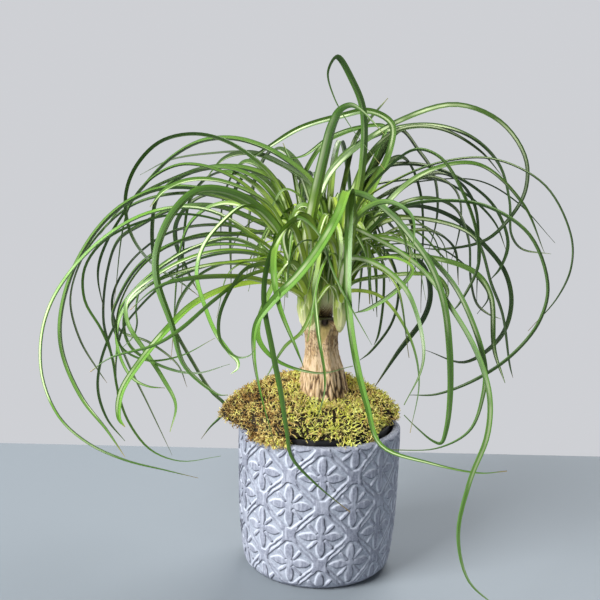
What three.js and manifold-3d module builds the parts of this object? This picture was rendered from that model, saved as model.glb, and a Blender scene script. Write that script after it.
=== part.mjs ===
// A potted ponytail palm: cover pot, nursery pot, soil, moss, trunk and a crown of long leaves.
// Millimetres, +Z up. The origin is the middle of the cover pot's flat foot, on the table.
import * as THREE from "three";
import { mergeVertices } from "three/addons/utils/BufferGeometryUtils.js";
import Module from "manifold-3d";

const wasm = await Module();
wasm.setup();

// Driving dimensions
const gap = 0.3; // air between pieces that rest on or in each other
const coverPot = { rim: 79, height: 145, wall: 7, floor: 8, sides: 32 };
const relief = { columns: 16, step: 29, topFlower: 115.5, height: 1.3, turn: 1.8 };
const nurseryPot = { rim: 69.5, foot: 52, top: 149, wall: 1.4, lip: 7, lipWidth: 3, sides: 36 };
nurseryPot.bottom = coverPot.floor + gap;
const soilTop = 136;
const mossSpokes = 42;
const trunkSides = 22;
const shoots = {
  left: { x: -13.5, y: -3, bottom: 238, crown: 285, radius: 10.8 },
  right: { x: 17, y: -4, bottom: 238, crown: 284, radius: 7.4 },
  back: { x: 3, y: 14, bottom: 241, crown: 292, radius: 10 },
};

// The leaves are drawn on an upright sheet 600 mm square that stands 1050 mm from the eye
const sheet = { distance: 1050, middle: 300, pitch: 11, roll: 1.3 };
const eye = new THREE.Vector3(-22.2, -1001, 463);

// Each leaf: shoot, width, depth halfway and at the tip (+ away from the eye), then its route
// on the sheet in millimetres across and down, from the crown to the tip
const drawnLeaves = [
  // arches to the left
  ["left", 12, 30, -10, 297, 235, 285, 195, 268, 170, 230, 142, 195, 133, 160, 141, 135, 167, 125,
    198, 131, 235, 152, 264, 180, 282, 200, 297],
  ["right", 12, 70, 120, 325, 215, 312, 182, 290, 162, 262, 146, 232, 138, 200, 141, 170, 158, 143,
    186, 125, 210, 108, 238, 99, 262, 98, 280, 104, 310],
  ["left", 8, -60, -70, 295, 270, 258, 238, 215, 212, 180, 207, 140, 216, 100, 241, 70, 272, 50,
    305, 41, 340, 43, 380, 60, 418, 88, 443, 125, 460, 165, 470, 198, 478],
  ["left", 12, -30, -90, 275, 230, 245, 203, 200, 188, 160, 188, 125, 203, 97, 229, 72, 272, 60,
    320, 63, 355, 82, 398, 107, 430, 125, 457],
  ["left", 6, 10, -60, 268, 250, 235, 226, 190, 214, 150, 219, 105, 240, 85, 268, 85, 300, 102,
    330, 112, 355, 118, 390, 128, 420, 150, 449, 180, 461, 221, 456],
  ["left", 8, 70, 110, 285, 240, 255, 212, 215, 196, 170, 194, 130, 206, 100, 232, 80, 262, 70,
    300, 80, 340, 98, 370, 107, 383],
  ["back", 11, 100, 150, 290, 240, 250, 218, 215, 206, 175, 208, 140, 225, 118, 240, 107, 270, 103,
    320, 110, 350, 113, 365, 118, 400],
  ["left", 10, -25, -50, 262, 250, 230, 238, 195, 247, 165, 264, 138, 286, 120, 310, 117, 345, 115,
    365],
  ["back", 11, 90, 70, 280, 235, 230, 234, 200, 236, 165, 247, 138, 266, 118, 298, 112, 320, 127,
    362, 148, 405, 172, 455],
  ["left", 9, 20, 50, 262, 268, 220, 263, 190, 271, 160, 287, 138, 308, 122, 330, 116, 360, 117,
    395],
  ["left", 9, -60, -110, 285, 284, 262, 282, 230, 287, 195, 303, 170, 326, 140, 362, 121, 393, 119,
    418, 125, 427],
  ["left", 9, -70, -110, 285, 240, 265, 212, 245, 205, 222, 222, 203, 247, 197, 275, 205, 305, 216,
    332, 230, 352, 238, 361, 238, 368, 231, 374],
  ["back", 8, 120, 160, 290, 230, 260, 200, 225, 192, 195, 200, 177, 222, 176, 242, 187, 270, 197,
    290],
  ["left", 12, 60, 70, 292, 215, 278, 183, 240, 167, 190, 172, 158, 195, 152, 222, 153, 255, 160,
    290, 172, 325, 190, 358, 210, 390, 226, 407, 221, 416, 210, 427, 201, 439],
  ["left", 10, -80, -120, 275, 225, 240, 196, 200, 190, 175, 210, 157, 250, 157, 280, 172, 325,
    184, 365, 212, 391, 220, 395, 228, 395],
  ["left", 9, -95, -130, 280, 266, 247, 268, 230, 290, 219, 320, 222, 343, 238, 357, 250, 355, 256,
    347],
  ["left", 8, 80, 120, 262, 262, 230, 262, 200, 275, 180, 300, 174, 320],
  ["left", 8, -90, -120, 262, 281, 240, 277, 195, 278, 165, 284, 150, 292, 130, 310],
  ["left", 8, -45, -90, 270, 258, 235, 250, 195, 256, 155, 276, 128, 300, 128, 322, 145, 350, 163,
    378, 176, 405, 170, 432],
  ["left", 11, 40, 80, 275, 262, 240, 252, 200, 258, 165, 275, 135, 297, 108, 340, 98, 385, 107,
    418, 125, 441],
  ["right", 9, 50, 90, 330, 220, 315, 187, 285, 166, 252, 153, 225, 158, 205, 180],
  ["left", 6, -75, -60, 268, 245, 225, 232, 180, 240, 140, 268, 118, 310, 120, 345, 145, 360, 180,
    356, 215, 338],
  ["left", 7, 60, 40, 270, 255, 230, 243, 185, 250, 148, 280, 125, 315, 130, 345, 160, 365, 195,
    373, 230, 364],
  ["back", 8, 110, 130, 275, 240, 225, 225, 170, 232, 130, 262, 112, 300, 120, 330, 149, 342, 178,
    365, 187, 387],
  ["left", 8, -110, -140, 285, 270, 250, 275, 215, 300, 180, 330, 155, 345, 110, 358, 90, 372],
  ["left", 10, -20, -60, 297, 262, 285, 230, 270, 205, 225, 182, 190, 180, 165, 190, 150, 207],
  ["left", 9, 20, 50, 295, 240, 285, 215, 255, 178, 215, 167, 165, 182, 122, 207, 100, 235],
  ["back", 7, 60, 90, 305, 230, 297, 190, 293, 170, 283, 143],
  ["right", 6, 90, 130, 330, 225, 300, 180, 270, 158, 245, 152, 215, 153, 170, 160, 140, 175],
  ["left", 7, -40, -60, 270, 262, 235, 262, 195, 268, 155, 282, 128, 303, 117, 330, 121, 358, 133,
    378, 148, 386, 165, 388],
  ["left", 6, 30, 40, 275, 255, 240, 245, 200, 247, 165, 262, 142, 285, 136, 308, 137, 324, 133,
    337, 121, 349],
  // leaves that stand up and curl over the top
  ["right", 9, 15, -80, 350, 230, 362, 170, 363, 110, 352, 80, 337, 57, 328, 72, 334, 97, 353, 130,
    385, 170],
  ["left", 14, -45, -95, 308, 240, 315, 200, 325, 155, 333, 125, 341, 110, 352, 105, 362, 110, 385,
    135],
  ["right", 8, 40, 70, 368, 200, 390, 150, 392, 124, 370, 111, 340, 116, 300, 128, 270, 146, 238,
    167],
  ["back", 7, 50, 80, 335, 230, 345, 180, 355, 140, 365, 125, 388, 98],
  ["back", 8, 60, 70, 355, 200, 378, 150, 385, 127, 360, 127, 330, 137, 305, 155, 290, 159],
  ["back", 7, 70, 110, 305, 240, 300, 190, 310, 163, 325, 143, 345, 133, 365, 128],
  // arches to the right
  ["back", 14, 50, 70, 318, 240, 318, 205, 330, 175, 358, 147, 400, 121, 455, 105, 500, 122, 525,
    158, 525, 190, 510, 217, 485, 240, 440, 249, 423, 248],
  ["back", 11, 90, 140, 325, 185, 350, 150, 398, 128, 440, 126, 475, 139, 500, 165, 510, 200, 512,
    235, 522, 249, 551, 254],
  ["back", 8, 60, 130, 350, 200, 370, 155, 400, 130, 440, 129, 480, 151, 503, 177],
  ["right", 6, -20, -60, 360, 205, 395, 180, 445, 161, 495, 159, 545, 185, 571, 235, 571, 268, 557,
    298, 528, 331],
  ["right", 10, 70, 110, 352, 215, 375, 165, 400, 130, 420, 152, 433, 172, 438, 200, 436, 225, 428,
    253],
  ["right", 8, -45, -80, 355, 210, 385, 170, 415, 149, 440, 157, 464, 195, 477, 235, 478, 265, 460,
    302, 452, 312],
  ["right", 11, 60, 90, 350, 215, 365, 178, 390, 165, 430, 166, 475, 187, 497, 210, 508, 243, 500,
    268, 490, 280],
  ["right", 5, 100, 150, 360, 220, 390, 190, 430, 180, 480, 181, 518, 203, 555, 243],
  ["back", 8, 120, 150, 345, 220, 362, 190, 400, 180, 440, 180, 470, 197, 495, 223, 506, 250],
  ["right", 9, -75, -110, 365, 235, 400, 207, 450, 200, 490, 207, 530, 235, 548, 285, 540, 320,
    515, 352, 480, 377, 437, 394, 410, 395],
  ["right", 10, 30, 60, 355, 250, 385, 222, 430, 220, 475, 238, 492, 285, 503, 315, 510, 365, 513,
    378],
  ["right", 13, -35, -60, 355, 270, 385, 258, 430, 258, 475, 273, 490, 295, 494, 350, 505, 383],
  ["right", 8, 80, 110, 350, 255, 380, 245, 440, 248, 483, 285, 488, 298, 477, 314],
  ["right", 12, -90, -125, 345, 240, 347, 195, 365, 196, 393, 217, 413, 240, 430, 265, 443, 300,
    449, 345, 450, 395, 446, 430, 441, 443, 433, 441, 416, 427, 404, 415],
  ["right", 10, -120, -190, 345, 228, 375, 238, 420, 268, 452, 310, 476, 352, 489, 395, 487, 435,
    470, 480, 458, 535, 468, 580, 488, 600, 500, 607],
  ["right", 12, -95, -125, 360, 240, 410, 245, 450, 280, 475, 330, 485, 370, 483, 395, 470, 430,
    438, 448, 385, 450],
  ["right", 9, -25, -50, 352, 283, 380, 277, 415, 274, 437, 277, 447, 292, 443, 303],
  ["right", 13, -110, -150, 352, 258, 375, 263, 395, 277, 410, 297, 423, 345, 421, 370, 404, 405],
  ["right", 11, -90, -130, 355, 290, 382, 297, 409, 335, 419, 380, 410, 433],
  ["right", 14, 90, 110, 350, 265, 385, 250, 420, 262, 430, 290, 425, 315, 398, 352, 374, 388],
  ["back", 10, 90, 120, 350, 235, 370, 235, 382, 262, 383, 300, 378, 335, 374, 345],
  ["back", 8, 110, 130, 355, 240, 385, 250, 398, 285, 392, 322, 370, 352, 360, 360],
  ["right", 9, -80, -100, 365, 262, 395, 258, 412, 268, 400, 287, 370, 308, 355, 313],
  ["right", 13, 90, 80, 365, 225, 410, 205, 450, 215, 480, 240, 505, 272, 511, 305, 500, 337, 465,
    362, 425, 350],
  ["right", 9, -80, -110, 350, 232, 362, 212, 383, 202, 400, 206, 412, 217, 414, 238, 409, 262],
  ["right", 7, 70, 100, 352, 225, 372, 203, 396, 190, 412, 182, 428, 177, 445, 181, 456, 191, 461,
    206, 460, 228, 456, 246, 450, 264],
  ["right", 8, 40, 70, 355, 240, 385, 212, 425, 198, 455, 208, 469, 240, 471, 280, 477, 304, 488,
    314, 501, 319],
  // leaves that come forward and hang in front of the trunk and pot
  ["left", 13, -115, -104, 312, 235, 303, 217, 283, 230, 268, 262, 264, 300, 273, 350, 281, 390,
    287, 430, 292, 457, 317, 485, 350, 512],
  ["left", 8, -80, -120, 288, 255, 285, 232, 300, 218, 320, 235, 333, 270, 350, 305, 372, 345],
  ["right", 12, -105, -100, 350, 235, 348, 190, 338, 215, 318, 250, 297, 277, 272, 302, 256, 325,
    254, 355, 261, 395, 275, 445],
  ["right", 9, -115, -125, 345, 235, 350, 190, 348, 250, 348, 300, 355, 355, 367, 405, 381, 445,
    430, 463, 480, 473, 507, 471],
  ["left", 10, -100, -110, 290, 225, 275, 250, 278, 300, 297, 350, 304, 368],
  ["right", 10, -95, -90, 331, 240, 324, 236, 319, 262, 315, 290, 318, 330, 325, 385, 315, 427],
  ["left", 9, -90, -80, 290, 262, 271, 290, 258, 335, 275, 359, 318, 373, 353, 366],
  ["right", 7, -60, -90, 330, 285, 318, 300, 302, 332, 285, 347, 265, 380],
];

// Further leaves by rule: young upright ones in each shoot, and the far side of the crown
const youngLeaves = { perShoot: 5, reach: [35, 75], rise: [45, 85], fall: [20, 60] };
const farLeaves = { count: 16, reach: [120, 215], rise: [55, 135], fall: [40, 150] };
const faceFront = { nearer: -92, above: 470 };
const blade = { thickness: 0.14, least: 0.7, tip: 1.2, bend: 36, stride: 95 };

// A seeded draw between two values
let seed = 20;
function draw(low, high) {
  seed = (Math.imul(seed, 1664525) + 1013904223) >>> 0;
  return low + ((high - low) * seed) / 4294967296;
}

// A closed surface through rings of points, each ring anticlockwise seen from its far side
function skin(rings) {
  const sides = rings[0].length;
  const points = rings.flat();
  const faces = [];
  for (let ring = 0; ring + 1 < rings.length; ring++) {
    for (let side = 0; side < sides; side++) {
      const next = (side + 1) % sides;
      const low = ring * sides;
      const high = low + sides;
      faces.push(low + side, low + next, high + next, low + side, high + next, high + side);
    }
  }
  const capEnds = [[0, rings[0], true], [points.length - sides, rings.at(-1), false]];
  for (const [start, ring, bottom] of capEnds) {
    const middle = new THREE.Vector3();
    ring.forEach((point) => middle.addScaledVector(point, 1 / sides));
    points.push(middle);
    for (let side = 0; side < sides; side++) {
      const next = (side + 1) % sides;
      const [first, second] = bottom ? [next, side] : [side, next];
      faces.push(start + first, start + second, points.length - 1);
    }
  }
  const geometry = new THREE.BufferGeometry().setFromPoints(points);
  return geometry.setIndex(faces);
}

// A three.js shape turned into a solid that can be joined and cut
function solid(geometry) {
  const bare = geometry.clone();
  bare.deleteAttribute("normal");
  bare.deleteAttribute("uv");
  const merged = mergeVertices(bare, 1e-4);
  const vertProperties = new Float32Array(merged.attributes.position.array);
  const triVerts = new Uint32Array(merged.index.array);
  return new wasm.Manifold(new wasm.Mesh({ numProp: 3, vertProperties, triVerts }));
}

// A solid turned back into a named mesh with its own material
function piece(name, body, color, roughness) {
  const { vertProperties, triVerts } = body.getMesh();
  const geometry = new THREE.BufferGeometry();
  geometry.setAttribute("position", new THREE.BufferAttribute(vertProperties, 3));
  geometry.setIndex(new THREE.BufferAttribute(triVerts, 1));
  geometry.computeVertexNormals();
  const material = new THREE.MeshStandardMaterial({ color, roughness, metalness: 0 });
  const mesh = new THREE.Mesh(geometry, material);
  mesh.name = name;
  return mesh;
}

// A round solid about Z from a profile of radius and height
function turned(profile, sides) {
  const points = profile.map(([radius, height]) => new THREE.Vector2(radius, height));
  return solid(new THREE.LatheGeometry(points, sides).rotateX(Math.PI / 2));
}

function polar(radius, angle, height) {
  return new THREE.Vector3(radius * Math.cos(angle), radius * Math.sin(angle), height);
}

// Outer wall of the cover pot: radius at a height
const coverProfile = [[64, 0], [69, 2.5], [72, 8], [74.2, 20], [76.2, 38], [77.7, 62], [79, 120]];
function coverRadius(height) {
  const spot = coverProfile.findIndex(([, level]) => level > height);
  if (spot < 1) return spot < 0 ? coverPot.rim : coverProfile[0][0];
  const [[innerRadius, low], [outerRadius, high]] = coverProfile.slice(spot - 1, spot + 1);
  return innerRadius + ((outerRadius - innerRadius) * (height - low)) / (high - low);
}

// One raised motif on the pot: an outline of [across, up] about a place on the wall
function raised(outline, angle, level, height) {
  const ringAt = (lift) =>
    outline.map(([across, up]) => {
      const radius = coverRadius(level + up);
      return polar(radius + lift, angle + across / coverPot.rim, level + up);
    });
  return solid(skin([ringAt(-2), ringAt(height)]));
}

// The lattice: columns of four-petalled flowers and square bosses that stand staggered
function latticeRelief() {
  const petal = 13.5;
  const notch = 3.6;
  const flower = [[petal, 0], [notch, notch], [0, petal], [-notch, notch], [-petal, 0],
    [-notch, -notch], [0, -petal], [notch, -notch]];
  const boss = [[7, -7], [7, 7], [-7, 7], [-7, -7]];
  const motifs = [];
  for (let column = 0; column < relief.columns; column++) {
    const angle = THREE.MathUtils.degToRad(-90 + relief.turn + (column * 360) / relief.columns);
    for (let row = 0; row < 5; row++) {
      const level = relief.topFlower + relief.step * (1 - row);
      const outline = (row + column) % 2 === 1 ? flower : boss;
      const ups = outline.map(([, up]) => level + up);
      if (Math.max(...ups) > coverPot.height - 2 || Math.min(...ups) < 3) continue;
      motifs.push(raised(outline, angle, level, relief.height));
    }
  }
  return wasm.Manifold.union(motifs);
}

function makeCoverPot() {
  const { rim, height, wall, floor, sides } = coverPot;
  const outside = coverProfile.concat([[rim, height - 3], [rim - 1, height - 1], [rim - 3, height]]);
  const inside = [[rim - wall + 2, height], [rim - wall, height - 2], [64, 30], [58, floor], [0, floor]];
  const shell = turned([[0, 0], ...outside, ...inside], sides);
  return piece("cover_pot", shell.add(latticeRelief()), "#8d94a3", 0.85);
}

// Radius of the nursery pot's outer wall at a height above the table
function nurseryRadius(height) {
  const { foot, rim, lipWidth, bottom, top } = nurseryPot;
  return THREE.MathUtils.mapLinear(height, bottom, top, foot, rim - lipWidth);
}

function makeNurseryPot() {
  const { bottom, top, rim, wall, lip, lipWidth, foot, sides } = nurseryPot;
  const drainHoles = { count: 4, circle: 34, radius: 5 };
  const shell = turned([
    [0, bottom], [foot, bottom], [nurseryRadius(top - lip), top - lip], [rim, top - lip], [rim, top],
    [rim - lipWidth - wall, top], [nurseryRadius(bottom + wall) - wall, bottom + wall], [0, bottom + wall],
  ], sides);
  const drains = [];
  for (let hole = 0; hole < drainHoles.count; hole++) {
    const { x, y } = polar(drainHoles.circle, (hole * 2 * Math.PI) / drainHoles.count, 0);
    const drain = new THREE.CylinderGeometry(drainHoles.radius, drainHoles.radius, 10, 8);
    drains.push(solid(drain.rotateX(Math.PI / 2).translate(x, y, bottom)));
  }
  return piece("nursery_pot", shell.subtract(wasm.Manifold.union(drains)), "#17181a", 0.45);
}

// The trunk's sections from foot to cut: middle x, middle y, radius, height
const trunkSections = [
  [4, 0, 9, 98], [4, 0, 20, 108], [4, 0, 25.5, 124], [4, 0, 28, 140], [3.4, 0, 28, 158], [2.8, 0, 25.8, 170],
  [1.9, 0, 23.3, 184], [1.4, 0, 20, 200], [0, 0, 16, 216], [-0.9, 1, 15.2, 230], [-1.2, 2.5, 16.8, 241],
  [0.5, 3, 14, 250],
];
function trunkSkin(extra) {
  return solid(skin(trunkSections.map(([x, y, radius, height], section) => {
    const ring = [];
    for (let side = 0; side < trunkSides; side++) {
      const angle = (side * 2 * Math.PI) / trunkSides;
      const flute = section > 2 ? 0.9 * Math.sin(5 * angle + 1) + 0.7 * Math.sin(9 * angle) : 0;
      const lift = section === 0 ? -extra : 0;
      ring.push(polar(radius + flute + extra, angle, height + lift).add(new THREE.Vector3(x, y, 0)));
    }
    return ring;
  })));
}

// The swollen base of one shoot, wrapped in the feet of its leaves
function shootBase({ x, y, bottom, crown, radius }, extra) {
  const tall = crown + 24 - bottom;
  const outline = [[0, 0], [0.45, 0.04], [0.8, 0.14], [1, 0.3], [0.95, 0.48], [0.8, 0.68], [0.42, 0.9], [0, 1]];
  const profile = outline.map(([out, up]) => [out && out * radius + extra, bottom + up * tall]);
  profile[0][1] -= extra;
  return turned(profile, 12).translate(x, y, 0);
}

function makeTrunk() {
  const sockets = Object.values(shoots).map((shoot) => shootBase(shoot, gap));
  const hollow = new THREE.SphereGeometry(6, 12, 8).scale(1.3, 0.8, 1.2).translate(4, -9, 249);
  const cut = trunkSkin(0).subtract(wasm.Manifold.union([...sockets, solid(hollow)]));
  const largest = cut.decompose().sort((a, b) => b.volume() - a.volume())[0];
  return piece("trunk", largest, "#9a7a5c", 0.9);
}

function makeSoil() {
  const inner = (height) => nurseryRadius(height) - nurseryPot.wall - gap;
  const low = nurseryPot.bottom + nurseryPot.wall + gap;
  const profile = [[0, low], [inner(low), low], [inner(soilTop), soilTop], [0, soilTop]];
  const fill = turned(profile, nurseryPot.sides);
  return piece("potting_soil", fill.subtract(trunkSkin(gap)), "#2e2019", 1);
}

// How far the moss reaches from the pot's axis: inside the front rim, over the left and right rims
const mossReach = [[-180, 98], [-168, 91], [-150, 83], [-124, 83], [-114, 77], [-106, 67], [-70, 66], [-52, 72],
  [-38, 70], [-18, 64], [0, 76], [14, 80], [60, 78], [110, 78], [150, 88], [180, 98]];
function reachAt(degrees) {
  const spot = mossReach.findIndex(([angle]) => angle >= degrees);
  if (spot < 1) return mossReach[0][1];
  const [[from, near], [to, far]] = mossReach.slice(spot - 1, spot + 1);
  return near + ((far - near) * (degrees - from)) / (to - from);
}

function makeMoss() {
  const inRim = nurseryPot.rim - nurseryPot.lipWidth - nurseryPot.wall - 2;
  const overRim = nurseryPot.top + 2 * gap;
  const bed = soilTop + gap;
  // share of the reach, height over the rim; the last three run back under the overhang
  const mound = [[0.2, 31], [0.42, 30], [0.62, 27], [0.78, 22], [0.9, 14], [1, 3]];
  // the heap is highest behind the trunk and a little higher on its left
  const heap = (angle) => 0.98 + 0.2 * Math.sin(angle) - 0.08 * Math.cos(angle);
  const ring = (place) => {
    const points = [];
    for (let spoke = 0; spoke < mossSpokes; spoke++) {
      const degrees = -180 + (spoke * 360) / mossSpokes;
      points.push(place(degrees, THREE.MathUtils.degToRad(degrees)));
    }
    return points;
  };
  const lumps = (x, y) => 1.5 * Math.sin(x / 7 + 1) * Math.sin(y / 8) + 0.9 * Math.sin((x + y) / 4.5);
  const under = (radius, height) =>
    ring((degrees, angle) => polar(Math.min(radius, reachAt(degrees) - 1.5), angle, height));
  const rings = [under(8, bed), under(inRim, bed), under(inRim, overRim)];
  rings.push(ring((degrees, angle) => polar(reachAt(degrees) - 1, angle, overRim)));
  for (const [share, rise] of mound.toReversed()) {
    rings.push(ring((degrees, angle) => {
      const spot = polar(reachAt(degrees) * share, angle, 0);
      const bump = lumps(spot.x, spot.y) * Math.min(1, (1.04 - share) * 5);
      return spot.setZ(overRim + rise * heap(angle) + bump);
    }));
  }
  rings.reverse();
  rings.forEach((one) => one.reverse());
  return piece("moss", solid(skin(rings)).subtract(trunkSkin(gap)), "#8f9a3c", 1);
}

// The point of a sheet mark at a depth behind the pot's axis
function fromSheet(across, down, depth) {
  const roll = THREE.MathUtils.degToRad(sheet.roll);
  const pitch = THREE.MathUtils.degToRad(sheet.pitch);
  const right = across - sheet.middle;
  const up = sheet.middle - down;
  const sight = new THREE.Vector3(
    right * Math.cos(roll) - up * Math.sin(roll),
    sheet.distance,
    right * Math.sin(roll) + up * Math.cos(roll),
  ).applyAxisAngle(new THREE.Vector3(1, 0, 0), -pitch);
  return sight.multiplyScalar((depth - eye.y) / sight.y).add(eye);
}

// Where a leaf is rooted in its shoot: on the side it leaves by, low for outer leaves that start
// out flat and high for young ones that start upright
function root({ x, y, crown, radius }, towards) {
  const run = new THREE.Vector3(towards.x - x, towards.y - y, 0);
  const slope = Math.atan2(towards.z - crown, run.length()) / (Math.PI / 2);
  const height = crown + THREE.MathUtils.lerp(-20, 12, THREE.MathUtils.clamp(slope, 0, 1));
  return new THREE.Vector3(x, y, height).addScaledVector(run.normalize(), 0.45 * radius);
}

function drawnRoute([shootName, , midDepth, tipDepth, ...marks]) {
  const shoot = shoots[shootName];
  const spots = [];
  for (let mark = 0; mark < marks.length; mark += 2) spots.push([marks[mark], marks[mark + 1]]);
  const runs = [60];
  for (let spot = 1; spot < spots.length; spot++) {
    const [across, down] = spots[spot];
    const [acrossBefore, downBefore] = spots[spot - 1];
    runs.push(runs.at(-1) + Math.hypot(across - acrossBefore, down - downBefore));
  }
  const route = spots.map(([across, down], spot) => {
    const t = runs[spot] / runs.at(-1);
    const depth = shoot.y * (1 - t) * (1 - 2 * t) + midDepth * 4 * t * (1 - t) + tipDepth * t * (2 * t - 1);
    return fromSheet(across, down, depth);
  });
  return [root(shoot, route[0]), ...route];
}

// An arching leaf by rule, in an upright plane at an angle about its shoot
function archRoute(shootName, degrees, reach, rise, fall, sway) {
  const shoot = shoots[shootName];
  const outward = polar(1, THREE.MathUtils.degToRad(degrees), 0);
  const sideways = new THREE.Vector3(-outward.y, outward.x, 0);
  const aim = new THREE.Vector3(shoot.x, shoot.y, shoot.crown + rise).addScaledVector(outward, reach);
  const start = root(shoot, aim);
  const steps = [[0, 0, 0], [0.12, 0.5, 0], [0.36, 0.9, 0.1], [0.66, 1, 0.3], [0.9, 0.7, 0.6]];
  const route = steps.map(([out, up, side]) =>
    start.clone().addScaledVector(outward, out * reach).addScaledVector(sideways, side * sway)
      .setZ(start.z + up * rise));
  const tip = start.clone().addScaledVector(outward, reach).addScaledVector(sideways, sway);
  route.push(tip.setZ(start.z + 0.7 * rise - fall));
  return route;
}

// A blade's width at a share of its length: slim foot, then narrowing steadily to its tip
function widthAt(width, share) {
  const foot = Math.min(1, 0.2 + share / 0.35);
  const taper = Math.min(1, ((1 - share) / 0.24) ** 0.65);
  return Math.max(blade.tip, width * (1.04 - 0.55 * share) * foot * taper);
}

// Leaves that come far forward, and the one that loops over the top, show their faces in front
function facesFront(route) {
  const middle = route[Math.floor(route.length / 2)];
  return middle.y < faceFront.nearer || middle.z > faceFront.above;
}

// The level direction that a leaf sets out in
function heading(route) {
  return route[Math.floor(route.length / 2)].clone().sub(route[0]).setZ(0).normalize();
}

// A solid blade of three-sided section along a route, rolled about its own length
function bladeSolid(route, width, turn) {
  const curve = new THREE.CatmullRomCurve3(route, false, "centripetal");
  const fine = 240;
  const across = facesFront(route)
    ? curve.getTangent(0).cross(new THREE.Vector3(0, -1, 0))
    : new THREE.Vector3(-heading(route).y, heading(route).x, 0);
  const rings = [];
  let owed = 1;
  let before = null;
  for (let step = 0; step <= fine; step++) {
    const share = step / fine;
    const spot = curve.getPoint(share);
    const ahead = curve.getTangent(share);
    if (before) {
      const bend = THREE.MathUtils.radToDeg(before.ahead.angleTo(ahead));
      owed += spot.distanceTo(before.spot) / blade.stride + bend / blade.bend;
    }
    before = { spot, ahead };
    across.addScaledVector(ahead, -across.dot(ahead)).normalize();
    if (owed < 1 && step < fine) continue;
    owed = Math.max(0, owed - 1);
    const roll = THREE.MathUtils.degToRad(turn * Math.min(1.8, share * 2.5));
    const side = across.clone().applyAxisAngle(ahead, roll);
    const face = ahead.clone().cross(side);
    const half = widthAt(width, share) / 2;
    const deep = Math.max(blade.least, blade.thickness * 2 * half);
    rings.push([
      spot.clone().addScaledVector(side, half),
      spot.clone().addScaledVector(side, -half),
      spot.clone().addScaledVector(face, -deep),
    ]);
  }
  return solid(skin(rings));
}

// How far a side leaf rolls towards the eye so that its face shows, a few of them away from it
function leafTurn(route) {
  const turn = draw(4, 26) * (facesFront(route) ? 0 : heading(route).x);
  return draw(0, 1) < 0.22 ? -turn : turn + draw(-8, 8);
}

function makeCrown() {
  const blades = Object.values(shoots).map((shoot) => shootBase(shoot, 0));
  const grow = (route, width) => blades.push(bladeSolid(route, width, leafTurn(route)));
  for (const leaf of drawnLeaves) grow(drawnRoute(leaf), leaf[1]);
  const { perShoot, ...young } = youngLeaves;
  Object.keys(shoots).forEach((shoot, start) => {
    for (let leaf = 0; leaf < perShoot; leaf++) {
      const degrees = start * 50 + (leaf * 360) / perShoot + draw(-20, 20);
      const sizes = [draw(...young.reach), draw(...young.rise), draw(...young.fall)];
      grow(archRoute(shoot, degrees, ...sizes, draw(-25, 25)), draw(8, 11));
    }
  });
  for (let leaf = 0; leaf < farLeaves.count; leaf++) {
    const degrees = 12 + (156 * (leaf + 0.5)) / farLeaves.count + draw(-4, 4);
    const shoot = ["right", "back", "left"][Math.min(2, Math.floor(degrees / 60))];
    const sizes = [draw(...farLeaves.reach), draw(...farLeaves.rise), draw(...farLeaves.fall)];
    grow(archRoute(shoot, degrees, ...sizes, draw(-40, 40)), draw(8, 11));
  }
  const joined = wasm.Manifold.union(blades).simplify(0.02);
  const largest = joined.decompose().sort((a, b) => b.volume() - a.volume())[0];
  return piece("leaf_crown", largest, "#4f7f2c", 0.5);
}

const palm = new THREE.Group();
palm.add(makeCoverPot(), makeNurseryPot(), makeSoil(), makeMoss(), makeTrunk(), makeCrown());

export default palm;
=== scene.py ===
"""A potted ponytail palm: relief cover pot, black nursery pot, moss, trunk, shoots and long leaves."""
import itertools
import math

import bmesh
import bpy
import numpy as np
from mathutils import Matrix, Vector, noise


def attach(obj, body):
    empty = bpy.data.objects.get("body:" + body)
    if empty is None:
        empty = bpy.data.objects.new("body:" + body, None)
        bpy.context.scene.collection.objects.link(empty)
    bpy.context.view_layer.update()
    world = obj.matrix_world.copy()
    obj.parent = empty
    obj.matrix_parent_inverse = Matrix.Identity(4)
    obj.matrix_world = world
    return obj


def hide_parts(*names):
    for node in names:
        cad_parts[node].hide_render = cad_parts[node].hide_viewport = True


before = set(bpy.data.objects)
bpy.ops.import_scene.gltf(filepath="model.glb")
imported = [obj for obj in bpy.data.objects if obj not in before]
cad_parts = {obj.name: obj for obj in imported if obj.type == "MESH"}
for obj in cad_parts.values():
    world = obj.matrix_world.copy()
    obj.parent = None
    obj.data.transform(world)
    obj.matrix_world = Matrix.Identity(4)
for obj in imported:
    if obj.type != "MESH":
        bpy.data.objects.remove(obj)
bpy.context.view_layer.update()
MM = 0.001

# The leaves are drawn on an upright sheet 600 mm square that stands 1050 mm from the eye
SHEET = {"distance": 1050, "middle": 300, "pitch": math.radians(11), "roll": math.radians(1.3)}
EYE = np.array([-22.2, -1001.0, 463.0])

# The three shoots on the cut trunk, in millimetres
SHOOTS = {
    "left": {"x": -13.5, "y": -3, "bottom": 238, "crown": 285, "radius": 10.8},
    "right": {"x": 17, "y": -4, "bottom": 238, "crown": 284, "radius": 7.4},
    "back": {"x": 3, "y": 14, "bottom": 241, "crown": 292, "radius": 10},
}

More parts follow.
